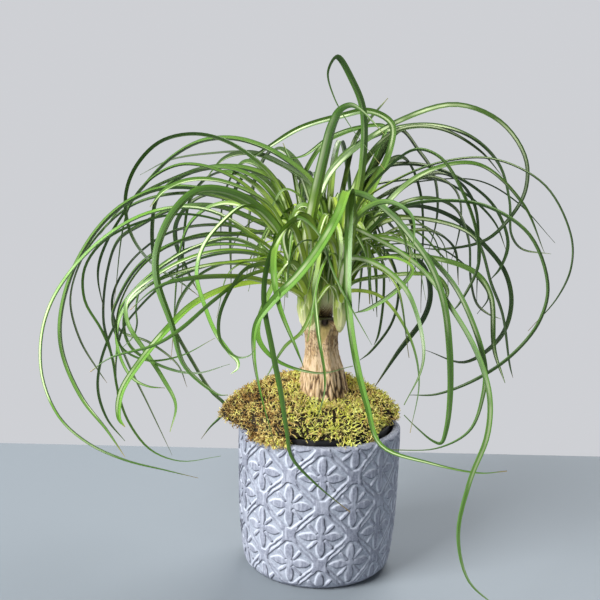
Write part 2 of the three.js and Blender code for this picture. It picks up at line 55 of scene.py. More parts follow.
# Each leaf: shoot, width, depth halfway and at the tip (+ away from the eye), then its route
# on the sheet in millimetres across and down, from the crown to the tip
DRAWN_LEAVES = [
    # arches to the left
    ["left", 12, 30, -10, 297, 235, 285, 195, 268, 170, 230, 142, 195, 133, 160, 141, 135, 167,
     125, 198, 131, 235, 152, 264, 180, 282, 200, 297],
    ["right", 12, 70, 120, 325, 215, 312, 182, 290, 162, 262, 146, 232, 138, 200, 141, 170, 158,
     143, 186, 125, 210, 108, 238, 99, 262, 98, 280, 104, 310],
    ["left", 8, -60, -70, 295, 270, 258, 238, 215, 212, 180, 207, 140, 216, 100, 241, 70, 272, 50,
     305, 41, 340, 43, 380, 60, 418, 88, 443, 125, 460, 165, 470, 198, 478],
    ["left", 12, -30, -90, 275, 230, 245, 203, 200, 188, 160, 188, 125, 203, 97, 229, 72, 272, 60,
     320, 63, 355, 82, 398, 107, 430, 125, 457],
    ["left", 6, 10, -60, 268, 250, 235, 226, 190, 214, 150, 219, 105, 240, 85, 268, 85, 300, 102,
     330, 112, 355, 118, 390, 128, 420, 150, 449, 180, 461, 221, 456],
    ["left", 8, 70, 110, 285, 240, 255, 212, 215, 196, 170, 194, 130, 206, 100, 232, 80, 262, 70,
     300, 80, 340, 98, 370, 107, 383],
    ["back", 11, 100, 150, 290, 240, 250, 218, 215, 206, 175, 208, 140, 225, 118, 240, 107, 270,
     103, 320, 110, 350, 113, 365, 118, 400],
    ["left", 10, -25, -50, 262, 250, 230, 238, 195, 247, 165, 264, 138, 286, 120, 310, 117, 345,
     115, 365],
    ["back", 11, 90, 70, 280, 235, 230, 234, 200, 236, 165, 247, 138, 266, 118, 298, 112, 320, 127,
     362, 148, 405, 172, 455],
    ["left", 9, 20, 50, 262, 268, 220, 263, 190, 271, 160, 287, 138, 308, 122, 330, 116, 360, 117,
     395],
    ["left", 9, -60, -110, 285, 284, 262, 282, 230, 287, 195, 303, 170, 326, 140, 362, 121, 393,
     119, 418, 125, 427],
    ["left", 9, -70, -110, 285, 240, 265, 212, 245, 205, 222, 222, 203, 247, 197, 275, 205, 305,
     216, 332, 230, 352, 238, 361, 238, 368, 231, 374],
    ["back", 8, 120, 160, 290, 230, 260, 200, 225, 192, 195, 200, 177, 222, 176, 242, 187, 270,
     197, 290],
    ["left", 12, 60, 70, 292, 215, 278, 183, 240, 167, 190, 172, 158, 195, 152, 222, 153, 255, 160,
     290, 172, 325, 190, 358, 210, 390, 226, 407, 221, 416, 210, 427, 201, 439],
    ["left", 10, -80, -120, 275, 225, 240, 196, 200, 190, 175, 210, 157, 250, 157, 280, 172, 325,
     184, 365, 212, 391, 220, 395, 228, 395],
    ["left", 9, -95, -130, 280, 266, 247, 268, 230, 290, 219, 320, 222, 343, 238, 357, 250, 355,
     256, 347],
    ["left", 8, 80, 120, 262, 262, 230, 262, 200, 275, 180, 300, 174, 320],
    ["left", 8, -90, -120, 262, 281, 240, 277, 195, 278, 165, 284, 150, 292, 130, 310],
    ["left", 8, -45, -90, 270, 258, 235, 250, 195, 256, 155, 276, 128, 300, 128, 322, 145, 350,
     163, 378, 176, 405, 170, 432],
    ["left", 8, 40, 80, 275, 262, 240, 252, 200, 258, 165, 275, 135, 297, 108, 340, 98, 385, 107,
     418, 125, 441],
    ["right", 9, 50, 90, 330, 220, 315, 187, 285, 166, 252, 153, 225, 158, 205, 180],
    ["left", 6, -75, -60, 268, 245, 225, 232, 180, 240, 140, 268, 118, 310, 120, 345, 145, 360,
     180, 356, 215, 338],
    ["left", 7, 60, 40, 270, 255, 230, 243, 185, 250, 148, 280, 125, 315, 130, 345, 160, 365, 195,
     373, 230, 364],
    ["back", 8, 110, 130, 275, 240, 225, 225, 170, 232, 130, 262, 112, 300, 120, 330, 149, 342,
     178, 365, 187, 387],
    ["left", 8, -110, -140, 285, 270, 250, 275, 215, 300, 180, 330, 155, 345, 110, 358, 90, 372],
    ["left", 10, -20, -60, 297, 262, 285, 230, 270, 205, 225, 182, 190, 180, 165, 190, 150, 207],
    ["left", 9, 20, 50, 295, 240, 285, 215, 255, 178, 215, 167, 165, 182, 122, 207, 100, 235],
    ["back", 7, 60, 90, 305, 230, 297, 190, 293, 170, 283, 143],
    ["right", 6, 90, 130, 330, 225, 300, 180, 270, 158, 245, 152, 215, 153, 170, 160, 140, 175],
    ["left", 7, -40, -60, 270, 262, 235, 262, 195, 268, 155, 282, 128, 303, 117, 330, 121, 358,
     133, 378, 148, 386, 165, 388],
    ["left", 6, 30, 40, 275, 255, 240, 245, 200, 247, 165, 262, 142, 285, 136, 308, 137, 324, 133,
     337, 121, 349],
    # leaves that stand up and curl over the top
    ["right", 9, 15, -80, 350, 230, 362, 170, 363, 110, 352, 80, 337, 57, 328, 72, 334, 97, 353,
     130, 385, 170],
    ["left", 14, -45, -95, 308, 240, 315, 200, 325, 155, 333, 125, 341, 110, 352, 105, 362, 110,
     385, 135],
    ["right", 8, 40, 70, 368, 200, 390, 150, 392, 124, 370, 111, 340, 116, 300, 128, 270, 146, 238,
     167],
    ["back", 7, 50, 80, 335, 230, 345, 180, 355, 140, 365, 125, 388, 98],
    ["back", 5, 60, 70, 355, 200, 378, 150, 385, 127, 360, 127, 330, 137, 305, 155, 290, 159],
    ["back", 7, 70, 110, 305, 240, 300, 190, 310, 163, 325, 143, 345, 133, 365, 128],
    # arches to the right
    ["back", 10, 50, 70, 318, 240, 318, 205, 330, 175, 358, 147, 400, 121, 455, 105, 500, 122, 525,
     158, 525, 190, 510, 217, 485, 240, 440, 249, 423, 248],
    ["back", 11, 90, 140, 325, 185, 350, 150, 398, 128, 440, 126, 475, 139, 500, 165, 510, 200,
     512, 235, 522, 249, 551, 254],
    ["back", 8, 60, 130, 350, 200, 370, 155, 400, 130, 440, 129, 480, 151, 503, 177],
    ["right", 6, -20, -60, 360, 205, 395, 180, 445, 161, 495, 159, 545, 185, 571, 235, 571, 268,
     557, 298, 528, 331],
    ["right", 10, 70, 110, 352, 215, 375, 165, 400, 130, 420, 152, 433, 172, 438, 200, 436, 225,
     428, 253],
    ["right", 8, -45, -80, 355, 210, 385, 170, 415, 149, 440, 157, 464, 195, 477, 235, 478, 265,
     460, 302, 452, 312],
    ["right", 11, 60, 90, 350, 215, 365, 178, 390, 165, 430, 166, 475, 187, 497, 210, 508, 243,
     500, 268, 490, 280],
    ["right", 5, 100, 150, 360, 220, 390, 190, 430, 180, 480, 181, 518, 203, 555, 243],
    ["back", 8, 120, 150, 345, 220, 362, 190, 400, 180, 440, 180, 470, 197, 495, 223, 506, 250],
    ["right", 9, -75, -110, 365, 235, 400, 207, 450, 200, 490, 207, 530, 235, 548, 285, 540, 320,
     515, 352, 480, 377, 437, 394, 410, 395],
    ["right", 10, 30, 60, 355, 250, 385, 222, 430, 220, 475, 238, 492, 285, 503, 315, 510, 365,
     513, 378],
    ["right", 10, -35, -60, 355, 270, 385, 258, 430, 258, 475, 273, 490, 295, 494, 350, 505, 383],
    ["right", 5, 80, 110, 350, 255, 380, 245, 440, 248, 483, 285, 488, 298, 477, 314],
    ["right", 10, -90, -125, 345, 240, 347, 195, 365, 196, 393, 217, 413, 240, 430, 265, 443, 300,
     449, 345, 450, 395, 446, 430, 441, 443, 433, 441, 416, 427, 404, 415],
    ["right", 9, -120, -190, 345, 228, 375, 238, 420, 268, 452, 310, 476, 352, 489, 395, 487, 435,
     470, 480, 458, 535, 468, 580, 488, 600, 500, 607],
    ["right", 8, -95, -125, 360, 240, 410, 245, 450, 280, 475, 330, 485, 370, 483, 395, 470, 430,
     438, 448, 385, 450],
    ["right", 9, -25, -50, 352, 283, 380, 277, 415, 274, 437, 277, 447, 292, 443, 303],
    ["right", 13, -110, -150, 352, 258, 375, 263, 395, 277, 410, 297, 423, 345, 421, 370, 404, 405],
    ["right", 11, -90, -130, 355, 290, 382, 297, 409, 335, 419, 380, 410, 433],
    ["right", 9, 90, 110, 350, 265, 385, 250, 420, 262, 430, 290, 425, 315, 398, 352, 374, 388],
    ["back", 7, 90, 120, 350, 235, 370, 235, 382, 262, 383, 300, 378, 335, 374, 345],
    ["back", 5, 110, 130, 355, 240, 385, 250, 398, 285, 392, 322, 370, 352, 360, 360],
    ["right", 6, -80, -100, 365, 262, 395, 258, 412, 268, 400, 287, 370, 308, 355, 313],
    ["right", 13, 90, 80, 365, 225, 410, 205, 450, 215, 480, 240, 505, 272, 511, 305, 500, 337,
     465, 362, 425, 350],
    ["right", 9, -80, -110, 350, 232, 362, 212, 383, 202, 400, 206, 412, 217, 414, 238, 409, 262],
    ["right", 7, 70, 100, 352, 225, 372, 203, 396, 190, 412, 182, 428, 177, 445, 181, 456, 191,
     461, 206, 460, 228, 456, 246, 450, 264],
    ["right", 8, 40, 70, 355, 240, 385, 212, 425, 198, 455, 208, 469, 240, 471, 280, 477, 304, 488,
     314, 501, 319],
    # leaves that come forward and hang in front of the trunk and pot
    ["left", 13, -115, -104, 312, 235, 303, 217, 283, 230, 268, 262, 264, 300, 273, 350, 281, 390,
     287, 430, 292, 457, 317, 485, 350, 512],
    ["left", 8, -80, -120, 288, 255, 285, 232, 300, 218, 320, 235, 333, 270, 350, 305, 372, 345],
    ["right", 12, -105, -100, 350, 235, 348, 190, 338, 215, 318, 250, 297, 277, 272, 302, 256, 325,
     254, 355, 261, 395, 275, 445],
    ["right", 9, -115, -125, 345, 235, 350, 190, 348, 250, 348, 300, 355, 355, 367, 405, 381, 445,
     430, 463, 480, 473, 507, 471],
    ["left", 10, -100, -110, 290, 225, 275, 250, 278, 300, 297, 350, 304, 368],
    ["right", 10, -95, -90, 331, 240, 324, 236, 319, 262, 315, 290, 318, 330, 325, 385, 315, 427],
    ["left", 9, -90, -80, 290, 262, 271, 290, 258, 335, 275, 359, 318, 373, 353, 366],
    ["right", 7, -60, -90, 330, 285, 318, 300, 302, 332, 285, 347, 265, 380],
]
# The rules for leaves with no drawn route: how many there are, the degrees that the first one of
# each next shoot starts at, how far a leaf goes out, up and down, and how much its heading in
# degrees, its sway and its width vary
YOUNG_LEAVES = {"per_shoot": 5, "start": 50, "spread": 20, "reach": (35, 75), "rise": (45, 85),
                "fall": (20, 60), "sway": 25, "width": (8, 11)}
SLIM_LEAVES = {"per_shoot": 12, "start": 17, "spread": 12, "reach": (45, 120), "rise": (35, 85),
               "fall": (0, 70), "sway": 25, "width": (3.5, 6)}
STIFF_LEAVES = {"per_shoot": 16, "start": 29, "spread": 10, "reach": (14, 50), "rise": (35, 75),
                "fall": (-20, 10), "sway": 10, "width": (4, 6)}
# Those on the far side share one arc of degrees among the three shoots
FAR_LEAVES = {"count": 16, "start": 12, "arc": 156, "spread": 4, "reach": (120, 215), "rise": (55, 135),
              "fall": (40, 150), "sway": 40, "width": (8, 11)}
FAR_SHOOTS = {"names": ("right", "back", "left"), "degrees": 60}

# The length of a drawn leaf that lies hidden in the crown before its first mark, in millimetres
HIDDEN_FOOT = 60
# An arching leaf as shares of its reach, its rise and its sway, up to where it starts to fall
ARCH = [(0, 0, 0), (0.12, 0.5, 0), (0.36, 0.9, 0.1), (0.66, 1, 0.3), (0.9, 0.7, 0.6)]
# Leaves are rooted over a span of heights that starts below the crown, at a share of the radius
ROOTS = {"lowest": -20, "span": 32, "out": 0.45}
# A shoot's base as shares of its radius and of its height, which ends above the crown
BULB = np.array([(0, 0), (0.45, 0.04), (0.8, 0.14), (1, 0.3), (0.95, 0.48), (0.8, 0.68),
                 (0.42, 0.9), (0, 1)])
BULB_OVER_CROWN = 24
CORE_LEVELS = (0.0, 0.04, 0.12, 0.2, 0.31, 0.42, 0.55, 0.68, 0.8, 0.9, 0.97)

# Leaves that come nearer or go higher than this halfway along turn their face to the front
FACE_FRONT = {"nearer": -92, "above": 470}
# How a leaf narrows: by what share over its length, over what last share it comes to a point, and
# how bluntly, for leaves that face the front and for the others
NARROWING = {True: (0.65, 0.36, 0.75), False: (0.48, 0.15, 0.6)}
# How strongly each step turns a blade's face to the front, for leaves that face it and for the others
EASE_TO_FRONT = {True: 0.014, False: 0.001}
# How many degrees a side leaf rolls towards the eye, what share of leaves roll away, and by how much
# a roll may be off; then where along the leaf it starts, how fast it grows and to how many times
ROLL = {"towards": (4, 26), "away": 0.22, "off": (-8, 8), "start": 0.04, "rate": 2.5, "most": 1.8}
# A blade's rings, the steps between them in which it turns, its width before it narrows, its least
# width, and over what length from its foot it widens and stays cupped round its shoot
BLADE = {"rings": 80, "fine": 3, "full": 1.04, "least": 0.9, "foot": 30, "clasp": 45}
# The blade's eight-sided section: share of the half width, and rise as a share of the width
SECTION = np.array([(1, 0.10), (0.5, -0.04), (0, -0.18), (-0.5, -0.04),
                    (-1, 0.10), (-0.5, -0.10), (0, -0.26), (0.5, -0.10)])

# Cover pot: outer wall as radius and height, the bore inside it, and the lattice of its relief
POT_WALL = [(64, 0), (67, 1.2), (69.6, 3.6), (72, 8), (74.2, 20), (76.2, 38), (77.7, 62), (78.7, 95),
            (79, 120), (79, 142), (78.2, 144.2), (76, 145)]
POT_BORE = [(73.9, 145), (72.6, 144.3), (72, 142.5), (69, 80), (64, 30), (62, 14), (56, 8.4), (30, 8)]
POT_FOOT = [(64, 0), (40, 0)]
POT_GRID = {"round": 512, "up": 176}
LATTICE = {"columns": 16, "radius": 79, "step": 29.0, "flower": 115.5, "turn": math.radians(1.8),
           "depth": 1.1, "wobble": 0.9}
# The forms between its lines, from a flower's or a crossing's middle: where a petal's own middle
# lies, its half length and half width, the eye's radius, the boss's half width and how far its
# sides curve in, and the two ridges' half distance and half width
UPRIGHT_PETAL = {"middle": 11.0, "long": 9.2, "wide": 4.0}
LEVEL_PETAL = {"middle": 11.3, "long": 10.0, "wide": 3.9}
SLANT_PETAL = {"from": 6.5, "to": 15.5, "wide": 1.4}
FLOWER_EYE = 4.2
BOSS = {"wide": 6.4, "curve": 1.9, "over": 7.5}
RIDGES = {"apart": 2.1, "wide": 0.85}
NURSERY = {"rim": 69.5, "foot": 52, "top": 149, "bottom": 8.3, "wall": 1.4, "lip": 7, "lip_width": 3}
DRAINS = {"count": 4, "out": 34, "radius": 5}

# The trunk's sections from foot to cut: middle x, middle y, radius, height
TRUNK = [(4, 0, 9, 98), (4, 0, 20, 108), (4, 0, 25.5, 124), (4, 0, 28, 140), (3.4, 0, 28, 158),
         (2.8, 0, 25.8, 170), (1.9, 0, 23.3, 184), (1.4, 0, 20, 200), (0, 0, 16, 216),
         (-0.9, 1, 15.2, 230), (-1.2, 2.5, 16.8, 241), (0.5, 3, 14, 250)]
# On the trunk's front: the hollow in its cut, the wound under it, which widens upwards, a scar on
# the left and a dark knob on the right, with their middles and half sizes
HOLLOW = {"x": 4, "z": 250, "wide": 9.0, "tall": 7.5, "deep": 6.5}
WOUND = {"z": [228, 246], "wide": [1.0, 6.0], "x": [-0.5, 3.5], "deep": 0.8}
SCAR = {"x": -15, "z": 241, "wide": 4.5, "tall": 3.2, "high": 2.2}
KNOB = {"angle": math.radians(-20), "z": 229, "wide": 0.28, "tall": 3.5, "high": 3.6}

# The moss: its sprigs, and those that spill over the rims, from and to which angle, from and to
# which distance, and how many
MOSS = {"pieces": 3, "sprigs": 2200, "voxel": 0.0018, "sprig": 5.6, "foot": 148.5}
SPILLS = [(-144, -112, 76, 83, 330), (-76, -62, 67, 74, 40), (-52, -44, 69, 74, 30)]

# The floor ends behind the plant, and the window stands high on the left, in metres and watts
FLOOR = {"wide": 8, "deep": 6, "end": 0.335}
ROOM = {"walls": ((0.2, (0.62, 0.63, 0.66)), (0.5, (0.16, 0.17, 0.19))),
        "ahead": ((0.2, (0.85, 0.85, 0.86)), (0.55, (1, 1, 1)))}
LAMPS = [("window", (-2.6, -2.1, 2.6), (0, 0, 0.2), 2.1, 292),
         ("skylight", (0.7, 1.5, 2.0), (0, 0, 0.3), 1.6, 55)]


class Draws:
    """Seeded draws between two values."""

    def __init__(self, seed):
        self.state = seed

    def __call__(self, low, high):
        self.state = (self.state * 1664525 + 1013904223) % 4294967296
        return low + (high - low) * self.state / 4294967296


class Channel:
    """One output in a tree of nodes, which arithmetic can be done on."""

    def __init__(self, nodes, socket):
        self.nodes = nodes
        self.socket = socket

    def maths(self, operation, other):
        return self.nodes.node("ShaderNodeMath", {"operation": operation}, {0: self, 1: other})

    def __add__(self, other):
        return self.maths("ADD", other)

    __radd__ = __add__

    def __sub__(self, other):
        return self.maths("SUBTRACT", other)

    def __mul__(self, other):
        return self.maths("MULTIPLY", other)

    def clamp(self, low, high):
        """From 0 at low to 1 at high, and level beyond them. Low may be the higher one."""
        inputs = {"Value": self, "From Min": low, "From Max": high}
        return self.nodes.node("ShaderNodeMapRange", {"interpolation_type": "SMOOTHSTEP"}, inputs)


class Nodes:
    """A tree of shader nodes."""

    def __init__(self, tree):
        self.tree = tree

    def node(self, kind, settings=None, inputs=None, output=0):
        made = self.tree.nodes.new(kind)
        for key, value in (settings or {}).items():
            setattr(made, key, value)
        for key, value in (inputs or {}).items():
            self.feed(made.inputs[key], value)
        return Channel(self, made.outputs[output])

    def feed(self, socket, value):
        if isinstance(value, Channel):
            self.tree.links.new(value.socket, socket)
        elif socket.type == "RGBA":
            socket.default_value = (*value, 1)
        else:
            socket.default_value = value

    def blend(self, share, one, two, how="MIX"):
        settings = {"data_type": "RGBA", "blend_type": how}
        return self.node("ShaderNodeMix", settings, {0: share, 6: one, 7: two}, 2)

    def coats(self, colour, *coats):
        """A colour with others laid over it in turn, each by its share."""
        for share, coat in coats:
            colour = self.blend(share, colour, coat)
        return colour

    def ramp(self, value, *stops, how="LINEAR"):
        made = self.node("ShaderNodeValToRGB", {}, {"Fac": value})
        ramp = made.socket.node.color_ramp
        ramp.interpolation = how
        while len(ramp.elements) < len(stops):
            ramp.elements.new(0.5)
        for element, (place, colour) in zip(ramp.elements, stops):
            element.position = place
            element.color = (*colour, 1)
        return made

    def marks(self, *names):
        return [self.node("ShaderNodeAttribute", {"attribute_name": name}, output="Fac") for name in names]

    def pattern(self, kind, per_metre, stretch=(1, 1, 1), **inputs):
        """A texture on object coordinates, stretched along an axis where the pattern needs it."""
        place = self.node("ShaderNodeTexCoord", output="Object")
        place = self.node("ShaderNodeMapping", {}, {"Vector": place, "Scale": stretch})
        return self.node(kind, {}, {"Vector": place, "Scale": per_metre, **inputs})

    def mottle(self, per_metre, detail, stretch=(1, 1, 1)):
        return self.pattern("ShaderNodeTexNoise", per_metre, stretch, Detail=detail, Roughness=0.55)

    def lines(self, across):
        """Noise along one number, such as the way across a leaf."""
        return self.node("ShaderNodeTexNoise", {"noise_dimensions": "1D"}, {"W": across})


class Finish(Nodes):
    """A material built on one Principled shader."""

    def __init__(self, name, **constants):
        self.material = bpy.data.materials.new(name)
        self.material.use_nodes = True
        super().__init__(self.material.node_tree)
        self.shader = self.tree.nodes["Principled BSDF"]
        for socket, value in constants.items():
            self.set(socket.replace("_", " "), value)

    def set(self, socket, value):
        self.feed(self.shader.inputs[socket], value)

    def coloured(self, colour, height=None, strength=1, distance=1):
        """Sets the colour, and a bump where there is a height, and gives the finished material."""
        self.set("Base Color", colour)
        if height:
            inputs = {"Height": height, "Strength": strength, "Distance": distance}
            self.set("Normal", self.node("ShaderNodeBump", {}, inputs))
        return self.material


def ware_finish():
    """Lilac-grey ware, whitewashed in the hollows: chalk and a painted highlight up left of each edge,
    grime and a painted shadow low right of it, as if lit from the upper left.
    """
    finish = Finish("whitewashed_ware", Roughness=0.8)
    edge, side = finish.marks("edge", "side")
    strokes = finish.mottle(300, 4, (1, 1, 0.14))
    specks = finish.mottle(520, 3)
    patches = finish.mottle(45, 3)
    # Whitewash on the edges, plus a painted highlight on the side up left of each edge, where light from
    # the upper left falls
    chalk_and_painted_highlight = edge.clamp(-0.4, 0.2) * edge.clamp(1.9, 1.0) * side.clamp(0.0, -0.5)
    # Painted shadow: a dark line low right of each edge, where shade from light at the upper left falls,
    # with some grime in the crease
    grime_and_painted_shadow = edge.clamp(-0.9, -0.2) * edge.clamp(0.75, 0.2) * side.clamp(-0.05, 0.5)
    ground = finish.coats(
        finish.blend(specks.clamp(0.35, 0.7), (0.31, 0.34, 0.41), (0.46, 0.50, 0.58)),
        (strokes.clamp(0.5, 0.66) * 0.4, (0.32, 0.345, 0.42)),
    )
    colour = finish.coats(
        finish.blend(specks.clamp(0.3, 0.7), (0.21, 0.225, 0.285), (0.33, 0.35, 0.43)),
        (strokes.clamp(0.48, 0.66) * 0.6, (0.58, 0.61, 0.70)),
        (edge.clamp(-0.35, 0.45), ground),
        (patches.clamp(0.5, 0.72) * 0.5, (0.34, 0.365, 0.44)),
        (patches.clamp(0.5, 0.3) * 0.5, (0.46, 0.49, 0.57)),
        # Chalk with a painted highlight, then grime with a painted shadow line
        (chalk_and_painted_highlight * (patches + 0.4), (0.60, 0.64, 0.72)),
        (grime_and_painted_shadow * (patches * 0.8 + 0.45), (0.045, 0.050, 0.070)),
    )
    return finish.coloured(colour, specks * 0.6 + strokes, 0.5, 0.0009)


def nursery_finish():
    """Black moulded plastic, a little dusty."""
    finish = Finish("black_grow_pot")
    dust = finish.mottle(60, 4).clamp(0.5, 0.8)
    finish.set("Roughness", dust * 0.3 + 0.38)
    colour = finish.blend(dust * 0.5, (0.008, 0.008, 0.010), (0.05, 0.045, 0.04))
    return finish.coloured(colour, finish.mottle(1500, 2), 0.1, 0.0002)


def soil_finish():
    """Dark crumbs of compost."""
    finish = Finish("peat_compost", Roughness=0.95)
    crumbs = finish.pattern("ShaderNodeTexVoronoi", 260)
    colour = finish.ramp(crumbs, (0.0, (0.012, 0.007, 0.004)), (0.6, (0.05, 0.03, 0.018)))
    return finish.coloured(colour, crumbs, 0.8, 0.002)


def moss_finish():
    """Moss from olive brown through tan to a bright yellow green, painted near-black at the strands' feet
    as the shade deep among them.
    """
    finish = Finish("dry_moss", Roughness=0.85)
    tint, depth = finish.marks("tint", "depth")
    colour = finish.ramp(
        tint,
        (0.0, (0.13, 0.070, 0.02)),
        (0.2, (0.36, 0.20, 0.05)),
        (0.38, (0.62, 0.44, 0.14)),
        (0.55, (0.92, 0.80, 0.30)),
        (0.75, (0.78, 0.80, 0.12)),
        (1.0, (0.97, 0.99, 0.36)),
    )
    # Painted shade: near-black low on each strand and all over the mound, for the shade among the strands
    return finish.coloured(finish.blend(depth.clamp(0.04, 0.55), (0.022, 0.014, 0.004), colour))


def bark_finish():
    """Tan bark with pale ridges, partly a painted highlight, beside fissures painted near-black as
    shade, a fine net, raw wood in the wound, a pale torn shoulder on the left, and painted shade in the
    hollow."""
    finish = Finish("tan_bark", Roughness=0.85)
    crack, net, wound, hollow, shoulder = finish.marks("crack", "net", "wound", "hollow", "shoulder")
    patches = finish.mottle(80, 4, (1, 1, 0.5))
    grain = finish.mottle(420, 4, (1, 1, 0.2))
    # ridges: the crests beside the fissures, partly pale bark and partly a painted highlight
    ridges = crack.clamp(0.22, 0.36) * crack.clamp(0.6, 0.48)
    colour = finish.coats(
        finish.blend(patches.clamp(0.3, 0.7), (0.50, 0.31, 0.14), (0.70, 0.48, 0.26)),
        (grain.clamp(0.46, 0.66) * 0.75, (0.90, 0.70, 0.44)),
        (grain.clamp(0.46, 0.34) * 0.5, (0.20, 0.10, 0.045)),
        (net.clamp(0.22, 0.06) * 0.6, (0.17, 0.085, 0.045)),
        # Pale ridges, partly a painted highlight, then the fissures painted near-black as shade
        (ridges * 0.6, (0.95, 0.72, 0.48)),
        (crack.clamp(0.22, 0.08) * 0.95, (0.055, 0.022, 0.010)),
        (wound, finish.blend(finish.mottle(300, 3, (1, 1, 0.3)), (0.34, 0.24, 0.07), (0.62, 0.48, 0.20))),
        # Painted shade: near-black in the hollow and over the cut top, which also darkens the knob's own
        # dark colour
        (hollow, (0.022, 0.010, 0.008)),
        (shoulder, finish.blend(patches, (0.66, 0.60, 0.32), (0.82, 0.77, 0.52))),
    )
    return finish.coloured(colour, net.clamp(0.0, 0.2) * 0.5 + grain * 0.8, 0.8, 0.0013)


def leaf_finish():
    """Straw at the foot, then yellow green, then deep green, each leaf lighter or darker as painted light
    and shade, with a painted highlight along the ridge, painted shade along the edges and on the underside,
    and a few dry tips."""
    finish = Finish("strap_leaf", Specular_IOR_Level=0.45)
    along, foot, across = finish.marks("along", "foot", "across")
    shade, under, dry = finish.marks("shade", "under", "dry")
    # deep: each leaf's green by its tone and painted light, near-black for leaves painted as in shade far
    # back and on the right
    deep = finish.blend(shade, (0.003, 0.015, 0.003), (0.120, 0.305, 0.024))
    bright = finish.blend(dry, (0.13, 0.27, 0.012), (0.62, 0.78, 0.075))
    stripes = finish.lines(across * 6 + shade * 31)
    # Painted highlight: a pale streak along a line across the blade that shifts leaf by leaf, for light
    # glancing off the fold
    ridge = across + (shade - 0.5) * 1.2
    painted_sheen = finish.mottle(16, 2).clamp(0.42, 0.58) * (ridge * ridge).clamp(0.11, 0.01)
    # pale: the painted highlight's colour, whiter near the foot
    pale = finish.blend(foot.clamp(60, 160), (0.95, 0.99, 0.70), (0.68, 0.80, 0.44))
    colour = finish.coats(
        finish.blend(foot.clamp(60, 190), bright, deep),
        (stripes.clamp(0.42, 0.62) * 0.35, (0.30, 0.50, 0.10)),
        (finish.mottle(40, 1).clamp(0.5, 0.8) * 0.3, (0.06, 0.15, 0.015)),
        (painted_sheen * 0.9, pale),
        # Painted shade darkening both edges of the blade
        ((across * across).clamp(0.45, 1.0) * 0.6, (0.020, 0.065, 0.008)),
        # Painted shade on the blade's underside
        (under * foot.clamp(60, 160) * 0.65, (0.025, 0.065, 0.015)),
    )
    colour = finish.blend(foot.clamp(0, 28), (0.97, 0.95, 0.50), colour)
    colour = finish.blend(along.clamp(0.95, 1.0) * dry, colour, (0.36, 0.24, 0.09))
    finish.set("Roughness", stripes.clamp(0.35, 0.6) * 0.3 + 0.42 - shade * 0.24)
    return finish.coloured(colour, stripes, 0.06, 0.0003)


def sheath_finish():
    """The shoots' cores: straw white below and yellow green above; the back one, set deep in shade, is
    near-black at its foot as painted shade, then brown, then a cream that is partly painted light.
    """
    finish = Finish("pale_leaf_foot", Roughness=0.42)
    along, shade, across, dull = finish.marks("along", "shade", "across", "dull")
    low = finish.blend(shade, (0.56, 0.62, 0.18), (0.98, 0.96, 0.52))
    high = finish.blend(shade, (0.24, 0.38, 0.04), (0.44, 0.55, 0.08))
    lines = finish.lines(across * 9)
    # The back core up its height: near-black at the foot as painted shade, brown, a cream that is partly
    # painted light where it sits in shade, then yellow green
    brown = finish.ramp(
        along + lines.clamp(0.4, 0.6) * 0.12,
        (0.30, (0.030, 0.014, 0.010)),
        (0.42, (0.40, 0.24, 0.12)),
        (0.54, (0.98, 0.92, 0.60)),
        (0.95, (0.60, 0.68, 0.14)),
    )
    colour = finish.coats(
        finish.blend((along + shade * 0.2).clamp(0.1, 0.6), low, high),
        (lines.clamp(0.45, 0.65) * 0.2, (0.52, 0.56, 0.20)),
        (dull, brown),
    )
    return finish.coloured(colour, lines, 0.3, 0.0005)


def floor_finish():
    """Plain pale grey paint."""
    finish = Finish("pale_floor", Roughness=0.7)
    return finish.coloured(finish.blend(finish.mottle(2, 2), (0.2328, 0.26384, 0.291), (0.24, 0.272, 0.30)))


def begin():
    """Nothing selected and nothing in edit mode, as every operator below expects."""
    if bpy.context.object and bpy.context.object.mode != "OBJECT":
        bpy.ops.object.mode_set(mode="OBJECT")
    bpy.ops.object.select_all(action="DESELECT")


def take(*pieces):
    """Selects only these pieces, and makes the first one active."""
    begin()
    for piece in pieces:
        piece.select_set(True)
    bpy.context.view_layer.objects.active = pieces[0]


def edit(piece):
    """Enters edit mode with all of the piece selected."""
    take(piece)
    bpy.ops.object.mode_set(mode="EDIT")
    bpy.ops.mesh.select_all(action="SELECT")


def modify(piece, kind, **settings):
    """Adds a modifier and applies it."""
    take(piece)
    modifier = piece.modifiers.new("change", kind)
    for key, value in settings.items():
        setattr(modifier, key, value)
    bpy.ops.object.modifier_apply(modifier=modifier.name)
    begin()


def joined(pieces):
    take(*pieces)
    bpy.ops.object.join()
    begin()
    return pieces[0]


def dress(piece, name, material, node, degrees=180):
    """Smooths a finished piece up to an angle, names it, gives it its material and lets it ride and
    stand for a CAD node."""
    take(piece)
    bpy.ops.object.shade_smooth_by_angle(angle=math.radians(degrees))
    begin()
    piece.name = name
    piece.data.name = name
    piece.data.materials.clear()
    piece.data.materials.append(material)
    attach(piece, "root")
    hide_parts(node)


def mark(piece, **marks):
    """Numbers at each vertex, which a material reads. Fewer values are repeated copy by copy."""
    for name, values in marks.items():
        layer = piece.data.attributes.new(name, "FLOAT", "POINT")
        values = np.resize(np.asarray(values, np.float32), len(piece.data.vertices))
        layer.data.foreach_set("value", values)


def points_of(piece, field="co"):
    flat = np.empty(len(piece.data.vertices) * 3, np.float32)
    piece.data.vertices.foreach_get(field, flat)
    return flat.reshape(-1, 3).astype(float)


def move_points(piece, points):
    piece.data.vertices.foreach_set("co", np.asarray(points, np.float32).ravel())
    piece.data.update()


def smooth_step(value, low, high):
    """From 0 at low to 1 at high, and level beyond them. Low may be the higher one."""
    share = np.clip((value - low) / (high - low), 0, 1)
    return share * share * (3 - 2 * share)


def unit(vectors):
    return vectors / np.linalg.norm(vectors, axis=-1, keepdims=True)


